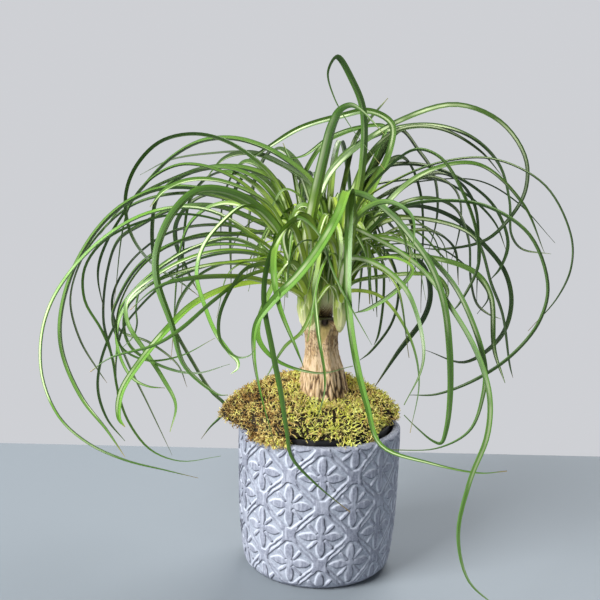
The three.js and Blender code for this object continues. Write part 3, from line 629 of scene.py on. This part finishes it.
def about_axis(angle, radius, height):
    """Points at angles, distances and heights about the upright axis."""
    return np.stack([radius * np.cos(angle), radius * np.sin(angle), height], axis=1)


def noise_at(points, per_mm, seed=0):
    """Smooth noise from -1 to 1 at points in millimetres."""
    return np.array([noise.noise(Vector(point) * per_mm + Vector((seed, 0, 0))) for point in points])


def centripetal(points, count):
    """A smooth curve through points, and its direction, as evenly counted samples."""
    points = np.asarray(points, float)
    padded = np.vstack([2 * points[0] - points[1], points, 2 * points[-1] - points[-2]])
    share = np.linspace(0, len(points) - 1, count)
    first = np.minimum(share.astype(int), len(points) - 2)
    t = (share - first)[:, None]
    p0, p1, p2, p3 = (padded[first + k] for k in range(4))
    gaps = [np.linalg.norm(b - a, axis=1, keepdims=True) ** 0.5 for a, b in ((p0, p1), (p1, p2), (p2, p3))]
    d0, d1, d2 = (np.maximum(gap, 1e-4) for gap in gaps)
    start = ((p1 - p0) / d0 - (p2 - p0) / (d0 + d1) + (p2 - p1) / d1) * d1
    end = ((p2 - p1) / d1 - (p3 - p1) / (d1 + d2) + (p3 - p2) / d2) * d1
    cubic = 2 * p1 - 2 * p2 + start + end
    square = -3 * p1 + 3 * p2 - 2 * start - end
    curve = p1 + start * t + square * t**2 + cubic * t**3
    slope = start + 2 * square * t + 3 * cubic * t**2
    return curve, unit(slope)


def from_sheet(across, down, depth):
    """The point of a sheet mark at a depth behind the pot's axis."""
    right = across - SHEET["middle"]
    up = SHEET["middle"] - down
    cos_roll, sin_roll = math.cos(SHEET["roll"]), math.sin(SHEET["roll"])
    level_right, level_up = right * cos_roll - up * sin_roll, right * sin_roll + up * cos_roll
    cos_pitch, sin_pitch = math.cos(SHEET["pitch"]), math.sin(SHEET["pitch"])
    ahead = SHEET["distance"] * cos_pitch + level_up * sin_pitch
    sight = np.array([level_right, ahead, level_up * cos_pitch - SHEET["distance"] * sin_pitch])
    return EYE + sight * (depth - EYE[1]) / sight[1]


def root_point(shoot, towards):
    """Where a leaf is rooted: on the side it leaves by, low if it starts flat, high if upright."""
    run = np.array([towards[0] - shoot["x"], towards[1] - shoot["y"], 0.0])
    length = np.linalg.norm(run)
    slope = math.atan2(towards[2] - shoot["crown"], length) / (math.pi / 2)
    height = shoot["crown"] + ROOTS["lowest"] + ROOTS["span"] * min(1.0, max(0.0, slope))
    return np.array([shoot["x"], shoot["y"], height]) + run / length * ROOTS["out"] * shoot["radius"]


def drawn_route(leaf):
    """A leaf off the sheet: its depth runs from the shoot's through those given halfway and at the tip."""
    shoot_name, _, middle, tip = leaf[:4]
    shoot = SHOOTS[shoot_name]
    spots = np.array(leaf[4:], float).reshape(-1, 2)
    steps = np.linalg.norm(np.diff(spots, axis=0), axis=1)
    runs = HIDDEN_FOOT + np.concatenate([[0], np.cumsum(steps)])
    route = []
    for (across, down), t in zip(spots, runs / runs[-1]):
        depth = shoot["y"] * (1 - t) * (1 - 2 * t) + middle * 4 * t * (1 - t) + tip * t * (2 * t - 1)
        route.append(from_sheet(across, down, depth))
    return [root_point(shoot, route[0])] + route


def arch_route(shoot_name, degrees, reach, rise, fall, sway):
    """An arching leaf by rule, in an upright plane at an angle about its shoot."""
    shoot = SHOOTS[shoot_name]
    angle = math.radians(degrees)
    outward = np.array([math.cos(angle), math.sin(angle), 0.0])
    sideways = np.array([-outward[1], outward[0], 0.0])
    aim = np.array([shoot["x"], shoot["y"], shoot["crown"] + rise]) + outward * reach
    start = root_point(shoot, aim)
    route = [start + outward * out * reach + sideways * side * sway + [0, 0, up * rise]
             for out, up, side in ARCH]
    return route + [start + outward * reach + sideways * sway + [0, 0, 0.7 * rise - fall]]


def faces_front(route):
    """Whether a leaf comes far forward, or loops over the top, and so shows its face in front."""
    middle = route[len(route) // 2]
    return bool(middle[1] < FACE_FRONT["nearer"] or middle[2] > FACE_FRONT["above"])


def heading(route):
    """The level direction that a leaf sets out in."""
    outward = (route[len(route) // 2] - route[0]) * [1, 1, 0]
    return outward / math.hypot(outward[0], outward[1])


def leaf_turn(route, draw):
    """How many degrees a leaf rolls. Side leaves roll so that most of them show their face."""
    turn = draw(*ROLL["towards"]) * (0 if faces_front(route) else heading(route)[0])
    if draw(0, 1) < ROLL["away"]:
        return -turn
    return turn + draw(*ROLL["off"])


def all_routes():
    """Every leaf as its shoot, route, width and roll, in the order that the draws are made."""
    draw = Draws(20)
    leaves = []

    def grow(shoot, route, width):
        leaves.append((shoot, route, width, leaf_turn(route, draw)))

    def grow_arch(rule, shoot, degrees):
        sizes = [draw(*rule[part]) for part in ("reach", "rise", "fall")]
        route = arch_route(shoot, degrees, *sizes, draw(-rule["sway"], rule["sway"]))
        grow(shoot, route, draw(*rule["width"]))

    def grow_round(rule):
        for place, shoot in enumerate(SHOOTS):
            for number in range(rule["per_shoot"]):
                degrees = place * rule["start"] + number * 360 / rule["per_shoot"]
                grow_arch(rule, shoot, degrees + draw(-rule["spread"], rule["spread"]))

    for leaf in DRAWN_LEAVES:
        grow(leaf[0], drawn_route(leaf), leaf[1])
    grow_round(YOUNG_LEAVES)
    for number in range(FAR_LEAVES["count"]):
        degrees = FAR_LEAVES["start"] + FAR_LEAVES["arc"] * (number + 0.5) / FAR_LEAVES["count"]
        degrees += draw(-FAR_LEAVES["spread"], FAR_LEAVES["spread"])
        third = min(2, int(degrees // FAR_SHOOTS["degrees"]))
        grow_arch(FAR_LEAVES, FAR_SHOOTS["names"][third], degrees)
    grow_round(SLIM_LEAVES)
    grow_round(STIFF_LEAVES)
    return leaves


def pick_edges(piece, test):
    """In edit mode, selects only the edges whose two end heights pass a test."""
    bpy.context.tool_settings.mesh_select_mode = (False, True, False)
    bpy.ops.mesh.select_all(action="DESELECT")
    shell = bmesh.from_edit_mesh(piece.data)
    for edge in shell.edges:
        edge.select_set(test(*(end.co.z for end in edge.verts)))
    shell.select_flush_mode()
    bmesh.update_edit_mesh(piece.data)


def pull_rings(profile):
    """Extrudes what is selected from ring to ring of a profile of radius and height."""
    for (radius, height), (next_radius, next_height) in zip(profile, profile[1:]):
        bpy.ops.mesh.extrude_region()
        share = next_radius / radius
        bpy.ops.transform.resize(value=(share, share, 1), center_override=(0, 0, 0))
        bpy.ops.transform.translate(value=(0, 0, (next_height - height) * MM))


def turned(profile, sides, x=0, y=0):
    """A round closed piece about an upright line, from its profile."""
    begin()
    radius, height = profile[0]
    bpy.ops.mesh.primitive_circle_add(vertices=sides, radius=radius * MM, fill_type="NGON",
                                      location=(0, 0, height * MM))
    piece = bpy.context.object
    bpy.ops.object.transform_apply(location=True)
    edit(piece)
    pull_rings(profile)
    bpy.ops.mesh.select_all(action="SELECT")
    bpy.ops.mesh.normals_make_consistent(inside=False)
    bpy.ops.transform.translate(value=(x * MM, y * MM, 0))
    begin()
    return piece


def tube(sides, rings):
    """A capped round tube from height 0 to 1 with rings cut evenly along it."""
    begin()
    bpy.ops.mesh.primitive_cylinder_add(vertices=sides, radius=1, depth=1, location=(0, 0, 0.5))
    piece = bpy.context.object
    bpy.ops.object.transform_apply(location=True)
    edit(piece)
    pick_edges(piece, lambda one, two: abs(one - two) > 0.5)
    bpy.ops.mesh.subdivide(number_cuts=rings - 1)
    begin()
    return piece


def copied(model):
    """A copy with a mesh of its own."""
    piece = model.copy()
    piece.data = model.data.copy()
    piece.parent = None
    bpy.context.collection.objects.link(piece)
    return piece


def repeated(model, count):
    """One mesh of so many copies of a model, and their points copy by copy."""
    piece = copied(model)
    modify(piece, "ARRAY", use_relative_offset=False, count=count)
    return piece, points_of(piece).reshape(count, -1, 3)


def lattice(around, height):
    """Millimetres from places on the pot to the edge of what is raised, below 0 on what is raised."""
    pitch = 2 * math.pi * LATTICE["radius"] / LATTICE["columns"]
    step = LATTICE["step"]
    u = around / pitch
    v = (height - LATTICE["flower"]) / step

    def from_nearest(shift):
        one = np.round((u + shift + v) / 2)
        two = np.round((u + shift - v) / 2)
        return np.abs(u + shift - one - two) * pitch, np.abs(v - one + two) * step

    x, y = from_nearest(0)
    petal = UPRIGHT_PETAL
    upright = (np.hypot(x / petal["wide"], (y - petal["middle"]) / petal["long"]) - 1) * petal["wide"]
    petal = LEVEL_PETAL
    level = y - petal["wide"] * (1 - ((x - petal["middle"]) / petal["long"]) ** 2)
    slant = np.clip((x + y) / math.sqrt(2), SLANT_PETAL["from"], SLANT_PETAL["to"]) / math.sqrt(2)
    slanted = np.hypot(x - slant, y - slant) - SLANT_PETAL["wide"]
    eye = np.hypot(x, y) - FLOWER_EYE
    off_line = (1 - x / pitch - y / step) / math.hypot(1 / pitch, 1 / step)
    ridges = np.abs(off_line - RIDGES["apart"]) - RIDGES["wide"]
    sides = [one - BOSS["wide"] - BOSS["curve"] * (other / BOSS["over"]) ** 2
             for one, other in itertools.permutations(from_nearest(1))]
    return np.minimum.reduce([upright, level, slanted, eye, np.maximum(*sides), ridges])


def make_cover_pot():
    """The wall as a fine grid wrapped round, pulled over the rim and foot, then pressed into relief."""
    begin()
    bpy.ops.mesh.primitive_grid_add(x_subdivisions=POT_GRID["round"], y_subdivisions=POT_GRID["up"], size=1)
    pot = bpy.context.object
    flat = points_of(pot) + 0.5
    wall = np.array(POT_WALL, float)
    runs = np.concatenate([[0], np.cumsum(np.hypot(*np.diff(wall, axis=0).T))])
    run = flat[:, 1] * runs[-1]
    radius, height = (np.interp(run, runs, wall[:, part]) for part in range(2))
    move_points(pot, about_axis(flat[:, 0] * 2 * math.pi, radius, height) * MM)
    edit(pot)
    bpy.ops.mesh.remove_doubles(threshold=1e-6)
    top, hair = POT_WALL[-1][1] * MM, 0.01 * MM
    pick_edges(pot, lambda one, two: min(one, two) > top - hair)
    pull_rings([POT_WALL[-1]] + POT_BORE)
    bpy.ops.mesh.merge(type="CENTER")
    pick_edges(pot, lambda one, two: max(one, two) < hair)
    pull_rings(POT_FOOT)
    bpy.ops.mesh.merge(type="CENTER")
    begin()

    spots = points_of(pot) / MM
    angle = np.arctan2(spots[:, 1], spots[:, 0])
    radius = np.hypot(spots[:, 0], spots[:, 1])
    wobble = LATTICE["wobble"]
    around = (angle + math.pi / 2 - LATTICE["turn"]) * LATTICE["radius"] + wobble * noise_at(spots, 0.15, 4)
    height = spots[:, 2] + wobble * noise_at(spots, 0.15, 31)
    outer = radius > np.interp(spots[:, 2], wall[:, 1], wall[:, 0]) - 0.5
    edge = lattice(around, height)
    # Which side of each edge faces away from light at the upper left: above 0 low right of an edge, where
    # the ware finish paints a shadow line, below 0 up left, where it paints a highlight
    side = lattice(around + 0.6, height - 0.45) - lattice(around - 0.6, height + 0.45)
    band = outer * smooth_step(height, 3, 6) * smooth_step(height, 144, 142.5)
    raised = (1 - smooth_step(edge, -0.7, 0.7)) * band
    worn = noise_at(spots, 0.11) * 0.3 + noise_at(spots, 0.4, 9) * 0.14
    lift = LATTICE["depth"] * raised + worn * outer * smooth_step(height, 0, 3)
    move_points(pot, (spots + about_axis(angle, lift, 0 * lift)) * MM)
    mark(pot, edge=np.where(band > 0, np.clip(edge, -3, 3), -2), side=side * band / 1.5)
    dress(pot, "cover_pot_ware", ware_finish(), "cover_pot")


def make_nursery_pot():
    """The thin black pot that the plant was grown in, with its rolled rim and its drain holes."""
    rim, wall, top, bottom = NURSERY["rim"], NURSERY["wall"], NURSERY["top"], NURSERY["bottom"]
    under = rim - NURSERY["lip_width"]
    lip_foot = top - NURSERY["lip"]
    profile = [
        (NURSERY["foot"], bottom),
        (under, lip_foot),
        (rim - 0.4, lip_foot),
        (rim, lip_foot + 0.5),
        (rim, top - 0.6),
        (rim - 0.6, top),
        (under - wall + 0.6, top),
        (under - wall, top - 0.6),
        (NURSERY["foot"] - wall, bottom + wall),
    ]
    pot = turned(profile, 96)
    for number in range(DRAINS["count"]):
        angle = number * 2 * math.pi / DRAINS["count"]
        spot = Vector((DRAINS["out"] * math.cos(angle), DRAINS["out"] * math.sin(angle), bottom)) * MM
        radius = DRAINS["radius"] * MM
        bpy.ops.mesh.primitive_cylinder_add(vertices=24, radius=radius, depth=2 * radius, location=spot)
        drill = bpy.context.object
        modify(pot, "BOOLEAN", object=drill, solver="EXACT")
        bpy.data.objects.remove(drill)
    dress(pot, "nursery_pot_shell", nursery_finish(), "nursery_pot", 35)


def trunk_section(height):
    """Middle x, middle y and radius of the trunk at heights, smoothly between its sections."""
    sections = np.array(TRUNK, float)
    share = np.interp(height, sections[:, 3], np.arange(len(sections)))
    curve = centripetal(sections[:, :3], 400)[0]
    places = share / (len(sections) - 1) * 399
    return [np.interp(places, np.arange(400), curve[:, part]) for part in range(3)]


def trunk_cracks(place, stretch, seed):
    """How far inside its cell of bark each place lies, 0 in the cracks between cells."""
    cracks = []
    for point in place:
        near = noise.voronoi(Vector(point * np.array(stretch)) + Vector((seed, seed, 0)))[0]
        cracks.append(near[1] - near[0])
    return np.array(cracks)


def make_trunk():
    """A fine tube laid on the trunk's sections, its bark cracked and netted, hollow at the top."""
    trunk = tube(160, 96)
    start = points_of(trunk)
    angle = np.arctan2(start[:, 1], start[:, 0])
    height = TRUNK[0][3] + start[:, 2] * (TRUNK[-1][3] - TRUNK[0][3])
    x, y, radius = trunk_section(height)
    flute = (0.9 * np.sin(5 * angle + 1) + 0.7 * np.sin(9 * angle)) * smooth_step(height, 124, 145)
    place = about_axis(angle, 5, height)
    low = smooth_step(height, 226, 192)
    crack = trunk_cracks(place, (1.2, 1.2, 0.045), 3) + 0.5 * (1 - low)
    # Fewer and shallower cracks on the lit left side, which also thins the painted shade in them there
    crack = crack + 0.08 * smooth_step(-np.cos(angle), -0.2, 0.6)
    net = trunk_cracks(place, (1.1, 1.1, 0.3), 8) + 0.25 * low
    rough = noise_at(place, 0.5) * 0.5 + noise_at(place, 1.4, 4) * 0.25
    fissure = 1.0 * (1 - smooth_step(crack, 0.0, 0.28)) + 0.5 * (1 - smooth_step(net, 0.0, 0.22))
    out = radius + flute + rough - fissure

    front = np.sin(angle) < -0.3
    spot_x = x + out * np.cos(angle)

    def off(mark_at, across, wide):
        """How far places lie from a mark's middle, as shares of its half sizes."""
        return (across - wide) / mark_at["wide"], (height - mark_at["z"]) / mark_at["tall"]

    hollow = front * (1 - smooth_step(np.hypot(*off(HOLLOW, spot_x, HOLLOW["x"])), 0.6, 1.05))
    wound_wide, wound_middle = (np.interp(height, WOUND["z"], WOUND[part]) for part in ("wide", "x"))
    wound = front * (1 - smooth_step(np.abs(spot_x - wound_middle) / wound_wide, 0.7, 1.1))
    wound = wound * smooth_step(height, 226, 231)
    sideways, upwards = off(SCAR, spot_x, SCAR["x"])
    scar = front * np.exp(-(sideways**2 + upwards**2))
    sideways, upwards = off(KNOB, angle, KNOB["angle"])
    knob = (np.cos(angle - KNOB["angle"]) > 0.5) * np.exp(-(upwards**2) - sideways**2)
    out = out - HOLLOW["deep"] * hollow - WOUND["deep"] * wound * (1 - hollow)
    out = out + SCAR["high"] * scar + KNOB["high"] * knob
    move_points(trunk, np.stack([x + out * np.cos(angle), y + out * np.sin(angle), height], axis=1) * MM)

    # Painted shade: the cut top, except its left edge, is painted near-black like the hollow, as the shade
    # under the shoots; the knob is darkened as well
    painted_shade_top = smooth_step(height, 247, 249.5) * (spot_x > -8)
    shoulder = smooth_step(height + 2.5 * noise_at(place, 0.35, 2), 238, 246) * (1 - wound)
    mark(trunk, crack=crack + wound, net=net + wound, wound=wound,
         hollow=np.maximum.reduce([hollow, painted_shade_top, 0.8 * knob]),
         shoulder=shoulder * smooth_step(-spot_x, -1, 6))
    dress(trunk, "trunk_bark", bark_finish(), "trunk")


def bulb_radius(shoot, height):
    """Radius of a shoot's swollen base at a height."""
    tall = shoot["crown"] + BULB_OVER_CROWN - shoot["bottom"]
    return shoot["radius"] * np.interp((height - shoot["bottom"]) / tall, BULB[:, 1], BULB[:, 0])


def rooted(shoot, route):
    """A leaf's route with its foot led up the outside of the shoot, older leaves further out."""
    root, towards = route[0], route[1]
    outward = np.array([towards[0] - shoot["x"], towards[1] - shoot["y"]])
    outward = outward / np.hypot(*outward)
    newer = (root[2] - shoot["crown"] - ROOTS["lowest"]) / ROOTS["span"]
    foot, top = shoot["bottom"] + 6 + 10 * newer, root[2] + 4
    layer = 0.2 - 2.2 * newer  # how far over the shoot's surface
    lead = []
    for height in (foot, 0.5 * (foot + top), top):
        radius = max(2.0, bulb_radius(shoot, height) + layer)
        lead.append([shoot["x"] + outward[0] * radius, shoot["y"] + outward[1] * radius, height])
    return lead + list(route[1:])


def painted_leaf_light(route):
    """How light a green a leaf is painted, as painted light and shade: lighter if it comes near, lies on
    the left towards the window lamp or goes over the top, darker far back and on the right.
    """
    x, y, z = route[len(route) // 2]
    return 0.4 - y / 300 - x / 700 + 0.35 * smooth_step(z, 400, 450)


def half_width(width, share, run, faces):
    """Widest a little above the foot, narrowing steadily to a point, more where it faces the front."""
    narrowing, tip, power = NARROWING[faces]
    taper = np.minimum(1, ((1 - share) / tip) ** power)
    wide = np.maximum(BLADE["least"], width * (BLADE["full"] - narrowing * share) * taper)
    return wide / 2 * (0.5 + 0.5 * smooth_step(run, 0, BLADE["foot"]))


def frames_along(shoot, route, turn):
    """Points along a leaf, with its direction, side and face at each, rolled as the leaf is."""
    fine = BLADE["rings"] * BLADE["fine"]
    spots, ahead = centripetal(rooted(shoot, route), fine + 1)
    facing = faces_front(route)
    across = np.cross(ahead[0], [0, -1, 0]) if facing else np.cross([0, 0, 1], heading(route))
    sides = []
    for direction in ahead:
        front = np.cross(direction, [0, -1, 0])
        across = across + front * math.copysign(EASE_TO_FRONT[facing], across @ front)
        across = across - direction * (across @ direction)
        across = across / math.sqrt(across @ across)
        sides.append(across)
    share = np.linspace(0, 1, fine + 1)
    grown = np.clip((share - ROLL["start"]) * ROLL["rate"], 0, ROLL["most"])
    roll = np.radians(turn * grown)[:, None]
    side = np.array(sides) * np.cos(roll) + np.cross(ahead, sides) * np.sin(roll)
    face = np.cross(ahead, side)
    return [part[:: BLADE["fine"]] for part in (spots, ahead, side, face)]


def make_leaves():
    """One blade modelled once, copied for each leaf, and laid along the leaf's route."""
    blade = tube(len(SECTION), BLADE["rings"])
    start = points_of(blade)
    corner = np.round(np.arctan2(start[:, 1], start[:, 0]) / (math.pi / 4)).astype(int) % len(SECTION)
    ring = np.round(start[:, 2] * BLADE["rings"]).astype(int)
    share = ring / BLADE["rings"]
    across, lift = SECTION[corner].T
    finish = leaf_finish()
    draw = Draws(7)
    leaves = all_routes()
    for name, shoot in SHOOTS.items():
        own = [leaf for leaf in leaves if leaf[0] == name]
        piece, points = repeated(blade, len(own))
        shades, foots, dries = np.empty((3, len(own), len(ring)))
        for number, (_, route, width, turn) in enumerate(own):
            spots, ahead, side, face = frames_along(shoot, route, turn)
            runs = np.concatenate([[0], np.cumsum(np.linalg.norm(np.diff(spots, axis=0), axis=1))])
            run = runs[ring]
            half = half_width(width, share, run, faces_front(route))
            cup = np.clip(1 - run / BLADE["clasp"], 0, 1)
            out = across * half
            rise = lift * 2 * half * (1 - 0.4 * cup) + cup * out**2 / 24
            points[number] = spots[ring] + side[ring] * out[:, None] + face[ring] * rise[:, None]
            foots[number] = run
            # Each leaf's tone: its painted light and shade by where it lies, plus a random share
            shades[number] = min(1.0, max(0.0, painted_leaf_light(route) + draw(-0.3, 0.3)))
            dries[number] = draw(0, 1) ** 2
        move_points(piece, points * MM)
        mark(piece, along=share, across=across, under=corner > 4, foot=foots, shade=shades, dry=dries)
        dress(piece, name + "_shoot_leaves", finish, "leaf_crown", 32)
    bpy.data.objects.remove(blade)


def make_shoot_cores():
    """The fleshy core that each shoot's leaf feet clasp."""
    cores = []
    for name, shoot in SHOOTS.items():
        tall = shoot["crown"] + BULB_OVER_CROWN - shoot["bottom"]
        profile = []
        for level in CORE_LEVELS:
            height = shoot["bottom"] + level * tall
            profile.append((max(1.0, float(bulb_radius(shoot, height))), height))
        core = turned(profile, 32, shoot["x"], shoot["y"])
        # The left core greener and the right one paler, partly painted light against the shade of the
        # leaves over it
        mark(core, dull=name == "back", shade=0.35 if name == "left" else 0.9)
        cores.append(core)
    piece = joined(cores)
    spots = points_of(piece) / MM
    mark(piece, along=np.clip((spots[:, 2] - 240) / 50, 0, 1), across=noise_at(spots, 0.1))
    dress(piece, "shoot_cores", sheath_finish(), "leaf_crown")


def curl(share):
    """How far a moss strand has swung aside at a share of its height."""
    return 1.5 * np.sin(share * 5.0), 1.2 * np.cos(share * 3.5) - 1.2


def make_sprig():
    """One curly moss strand with three short side twigs, a few dozen faces in all."""
    strand = tube(3, 5)
    points = points_of(strand)
    share = points[:, 2]
    thin = 0.55 * (1 - 0.5 * share)
    bend_x, bend_y = curl(share)
    bent = [points[:, 0] * thin + bend_x, points[:, 1] * thin + bend_y, share * MOSS["sprig"]]
    move_points(strand, np.stack(bent, axis=1))
    parts = [strand]
    for height, turn in ((2.2, 1.0), (3.4, -1.2), (4.6, 0.8)):
        begin()
        bend_x, bend_y = curl(height / MOSS["sprig"])
        spot = (bend_x + turn, bend_y, height + 0.8)
        bpy.ops.mesh.primitive_cone_add(vertices=3, radius1=0.4, radius2=0.12, depth=2.8,
                                        location=spot, rotation=(0, turn, 0))
        bpy.ops.object.transform_apply(location=True, rotation=True)
        parts.append(bpy.context.object)
    return joined(parts)


def spilled(chance):
    """Roots of the sprigs that hang over the rims, and the outward and downward ways they grow."""
    roots, ways = [], []
    for start, end, near, far, count in SPILLS:
        angle = np.radians(chance.uniform(start, end, count))
        radius = chance.uniform(near, far, count)
        height = 150.5 - (radius - near) * 0.7 + chance.uniform(-1, 1, count)
        roots.append(about_axis(angle, radius, height))
        ways.append(about_axis(angle, 1, np.full(count, -0.35)) / 1.06)
    return np.vstack(roots), np.vstack(ways)


def make_mound():
    """The CAD's moss with an even mesh, made lumpy above the rims."""
    mound = copied(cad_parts["moss"])
    edit(mound)
    bpy.ops.mesh.remove_doubles(threshold=1e-6)
    modify(mound, "REMESH", mode="VOXEL", voxel_size=MOSS["voxel"])
    modify(mound, "SMOOTH", iterations=4)
    spots = points_of(mound) / MM
    lumps = noise_at(spots, 0.09) * 1.8 + noise_at(spots, 0.22, 5) * 1.3 + noise_at(spots, 0.6, 7) * 0.6
    lumps = lumps * smooth_step(spots[:, 2], 149, 152)
    spots = spots + points_of(mound, "normal") * lumps[:, None]
    move_points(mound, spots * MM)
    return mound, spots


def sprig_places(mound, spots, chance, total):
    """Where sprigs are rooted, evenly over the mound's upper side, and which way is out there."""
    mound.data.calc_loop_triangles()
    corners = spots[np.array([triangle.vertices for triangle in mound.data.loop_triangles])]
    cross = np.cross(corners[:, 1] - corners[:, 0], corners[:, 2] - corners[:, 0])
    area = np.linalg.norm(cross, axis=1) / 2
    normal = cross / (2 * area + 1e-9)[:, None]
    area = area * (corners[:, :, 2].mean(axis=1) > MOSS["foot"]) * (normal[:, 2] > -0.6)
    spill, ways = spilled(chance)
    chosen = chance.choice(len(area), total - len(spill), p=area / area.sum())
    weights = chance.dirichlet((1, 1, 1), len(chosen))
    roots = np.vstack([np.einsum("nk,nkd->nd", weights, corners[chosen]), spill])
    return roots, np.vstack([normal[chosen], ways])


def make_moss():
    """The mound, lumpy and painted near-black as the shade between strands, then thousands of curly sprigs
    over it.
    """
    mound, spots = make_mound()
    chance = np.random.default_rng(11)
    total = MOSS["pieces"] * MOSS["sprigs"]
    roots, normal = sprig_places(mound, spots, chance, total)
    lean = chance.normal(size=(total, 3))
    lean = unit(lean - normal * np.einsum("nd,nd->n", lean, normal)[:, None])
    tilt = np.radians(chance.uniform(15, 85, total))[:, None]
    along = normal * np.cos(tilt) + lean * np.sin(tilt)
    side = unit(np.cross(along, chance.normal(size=(total, 3))))
    third = np.cross(along, side)
    clump = 0.5 + 0.5 * noise_at(roots, 0.055, 2) + 0.35 * noise_at(roots, 0.16, 6)
    left_side = smooth_step(-roots[:, 0], 0, 60)
    right_side = smooth_step(roots[:, 0], 25, 65)
    tint = 0.70 + 0.6 * (clump - 0.5) - 0.36 * left_side - 0.14 * right_side
    tint = np.clip(tint + chance.normal(0, 0.16, total), 0, 1)
    size = chance.uniform(0.55, 1.25, total)

    finish = moss_finish()
    # The mound is painted near-black all over, as shade under the sprigs
    mark(mound, tint=np.clip(0.5 + 0.5 * noise_at(spots, 0.1), 0, 1), depth=0.04)
    dress(mound, "moss_mound", finish, "moss")
    sprig = make_sprig()
    for number in range(MOSS["pieces"]):
        tuft, points = repeated(sprig, MOSS["sprigs"])
        own = slice(number, total, MOSS["pieces"])
        local = points * size[own, None, None]
        placed = (
            local[..., 0:1] * side[own, None] + local[..., 1:2] * third[own, None]
            + (local[..., 2:3] - 0.8) * along[own, None] + roots[own, None]
        )
        move_points(tuft, placed * MM)
        # depth: height up each strand; the moss finish paints the lowest part near-black as shade
        depth = np.clip(points[..., 2] / MOSS["sprig"], 0, 1)
        mark(tuft, tint=np.repeat(tint[own], points.shape[1]), depth=depth)
        dress(tuft, "moss_sprigs_" + str(number + 1), finish, "moss", 60)
    bpy.data.objects.remove(sprig)


def dress_soil():
    """The CAD's soil stays as it is, in its own material."""
    finish = soil_finish()
    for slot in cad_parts["potting_soil"].material_slots:
        slot.material = finish


def make_stage():
    """A plain pale floor that ends behind the plant, a room pale ahead and dim behind, and lamps."""
    begin()
    bpy.ops.mesh.primitive_plane_add(size=1, location=(0, FLOOR["end"] - FLOOR["deep"] / 2, 0))
    floor = bpy.context.object
    floor.name = "floor"
    bpy.ops.transform.resize(value=(FLOOR["wide"], FLOOR["deep"], 1))
    bpy.ops.object.transform_apply(location=True, scale=True)
    floor.data.materials.append(floor_finish())
    world = bpy.data.worlds.new("pale_room")
    bpy.context.scene.world = world
    world.use_nodes = True
    room = Nodes(world.node_tree)
    sight = room.node("ShaderNodeTexCoord", output="Generated")
    ahead, up = (room.node("ShaderNodeSeparateXYZ", {}, {"Vector": sight}, axis) for axis in "YZ")
    ahead = room.node("ShaderNodeMapRange", {}, {"Value": ahead, "From Min": -1})
    walls = room.ramp(up, *ROOM["walls"], how="EASE")
    dimmed = room.blend(1, walls, room.ramp(ahead, *ROOM["ahead"], how="EASE"), "MULTIPLY")
    room.feed(room.tree.nodes["Background"].inputs["Color"], dimmed)
    bpy.context.scene.view_settings.view_transform = "Standard"
    for name, place, target, size, power in LAMPS:
        data = bpy.data.lights.new(name, "AREA")
        data.size = size
        data.energy = power
        lamp = bpy.data.objects.new(name, data)
        bpy.context.collection.objects.link(lamp)
        lamp.location = place
        lamp.rotation_euler = (Vector(target) - Vector(place)).to_track_quat("-Z", "Y").to_euler()


def make_camera():
    """The photograph's eye: the sheet that the leaves are drawn on just fills its frame."""
    data = bpy.data.cameras.new("camera")
    data.sensor_width = 36
    data.lens = data.sensor_width * SHEET["distance"] / (2 * SHEET["middle"])
    camera = bpy.data.objects.new("camera", data)
    bpy.context.collection.objects.link(camera)
    level = Matrix.Rotation(math.pi / 2 - SHEET["pitch"], 4, "X") @ Matrix.Rotation(SHEET["roll"], 4, "Z")
    camera.matrix_world = Matrix.Translation(Vector(EYE) * MM) @ level
    bpy.context.scene.camera = camera


make_stage()
make_camera()
make_cover_pot()
make_nursery_pot()
dress_soil()
make_trunk()
make_shoot_cores()
make_leaves()
make_moss()
begin()
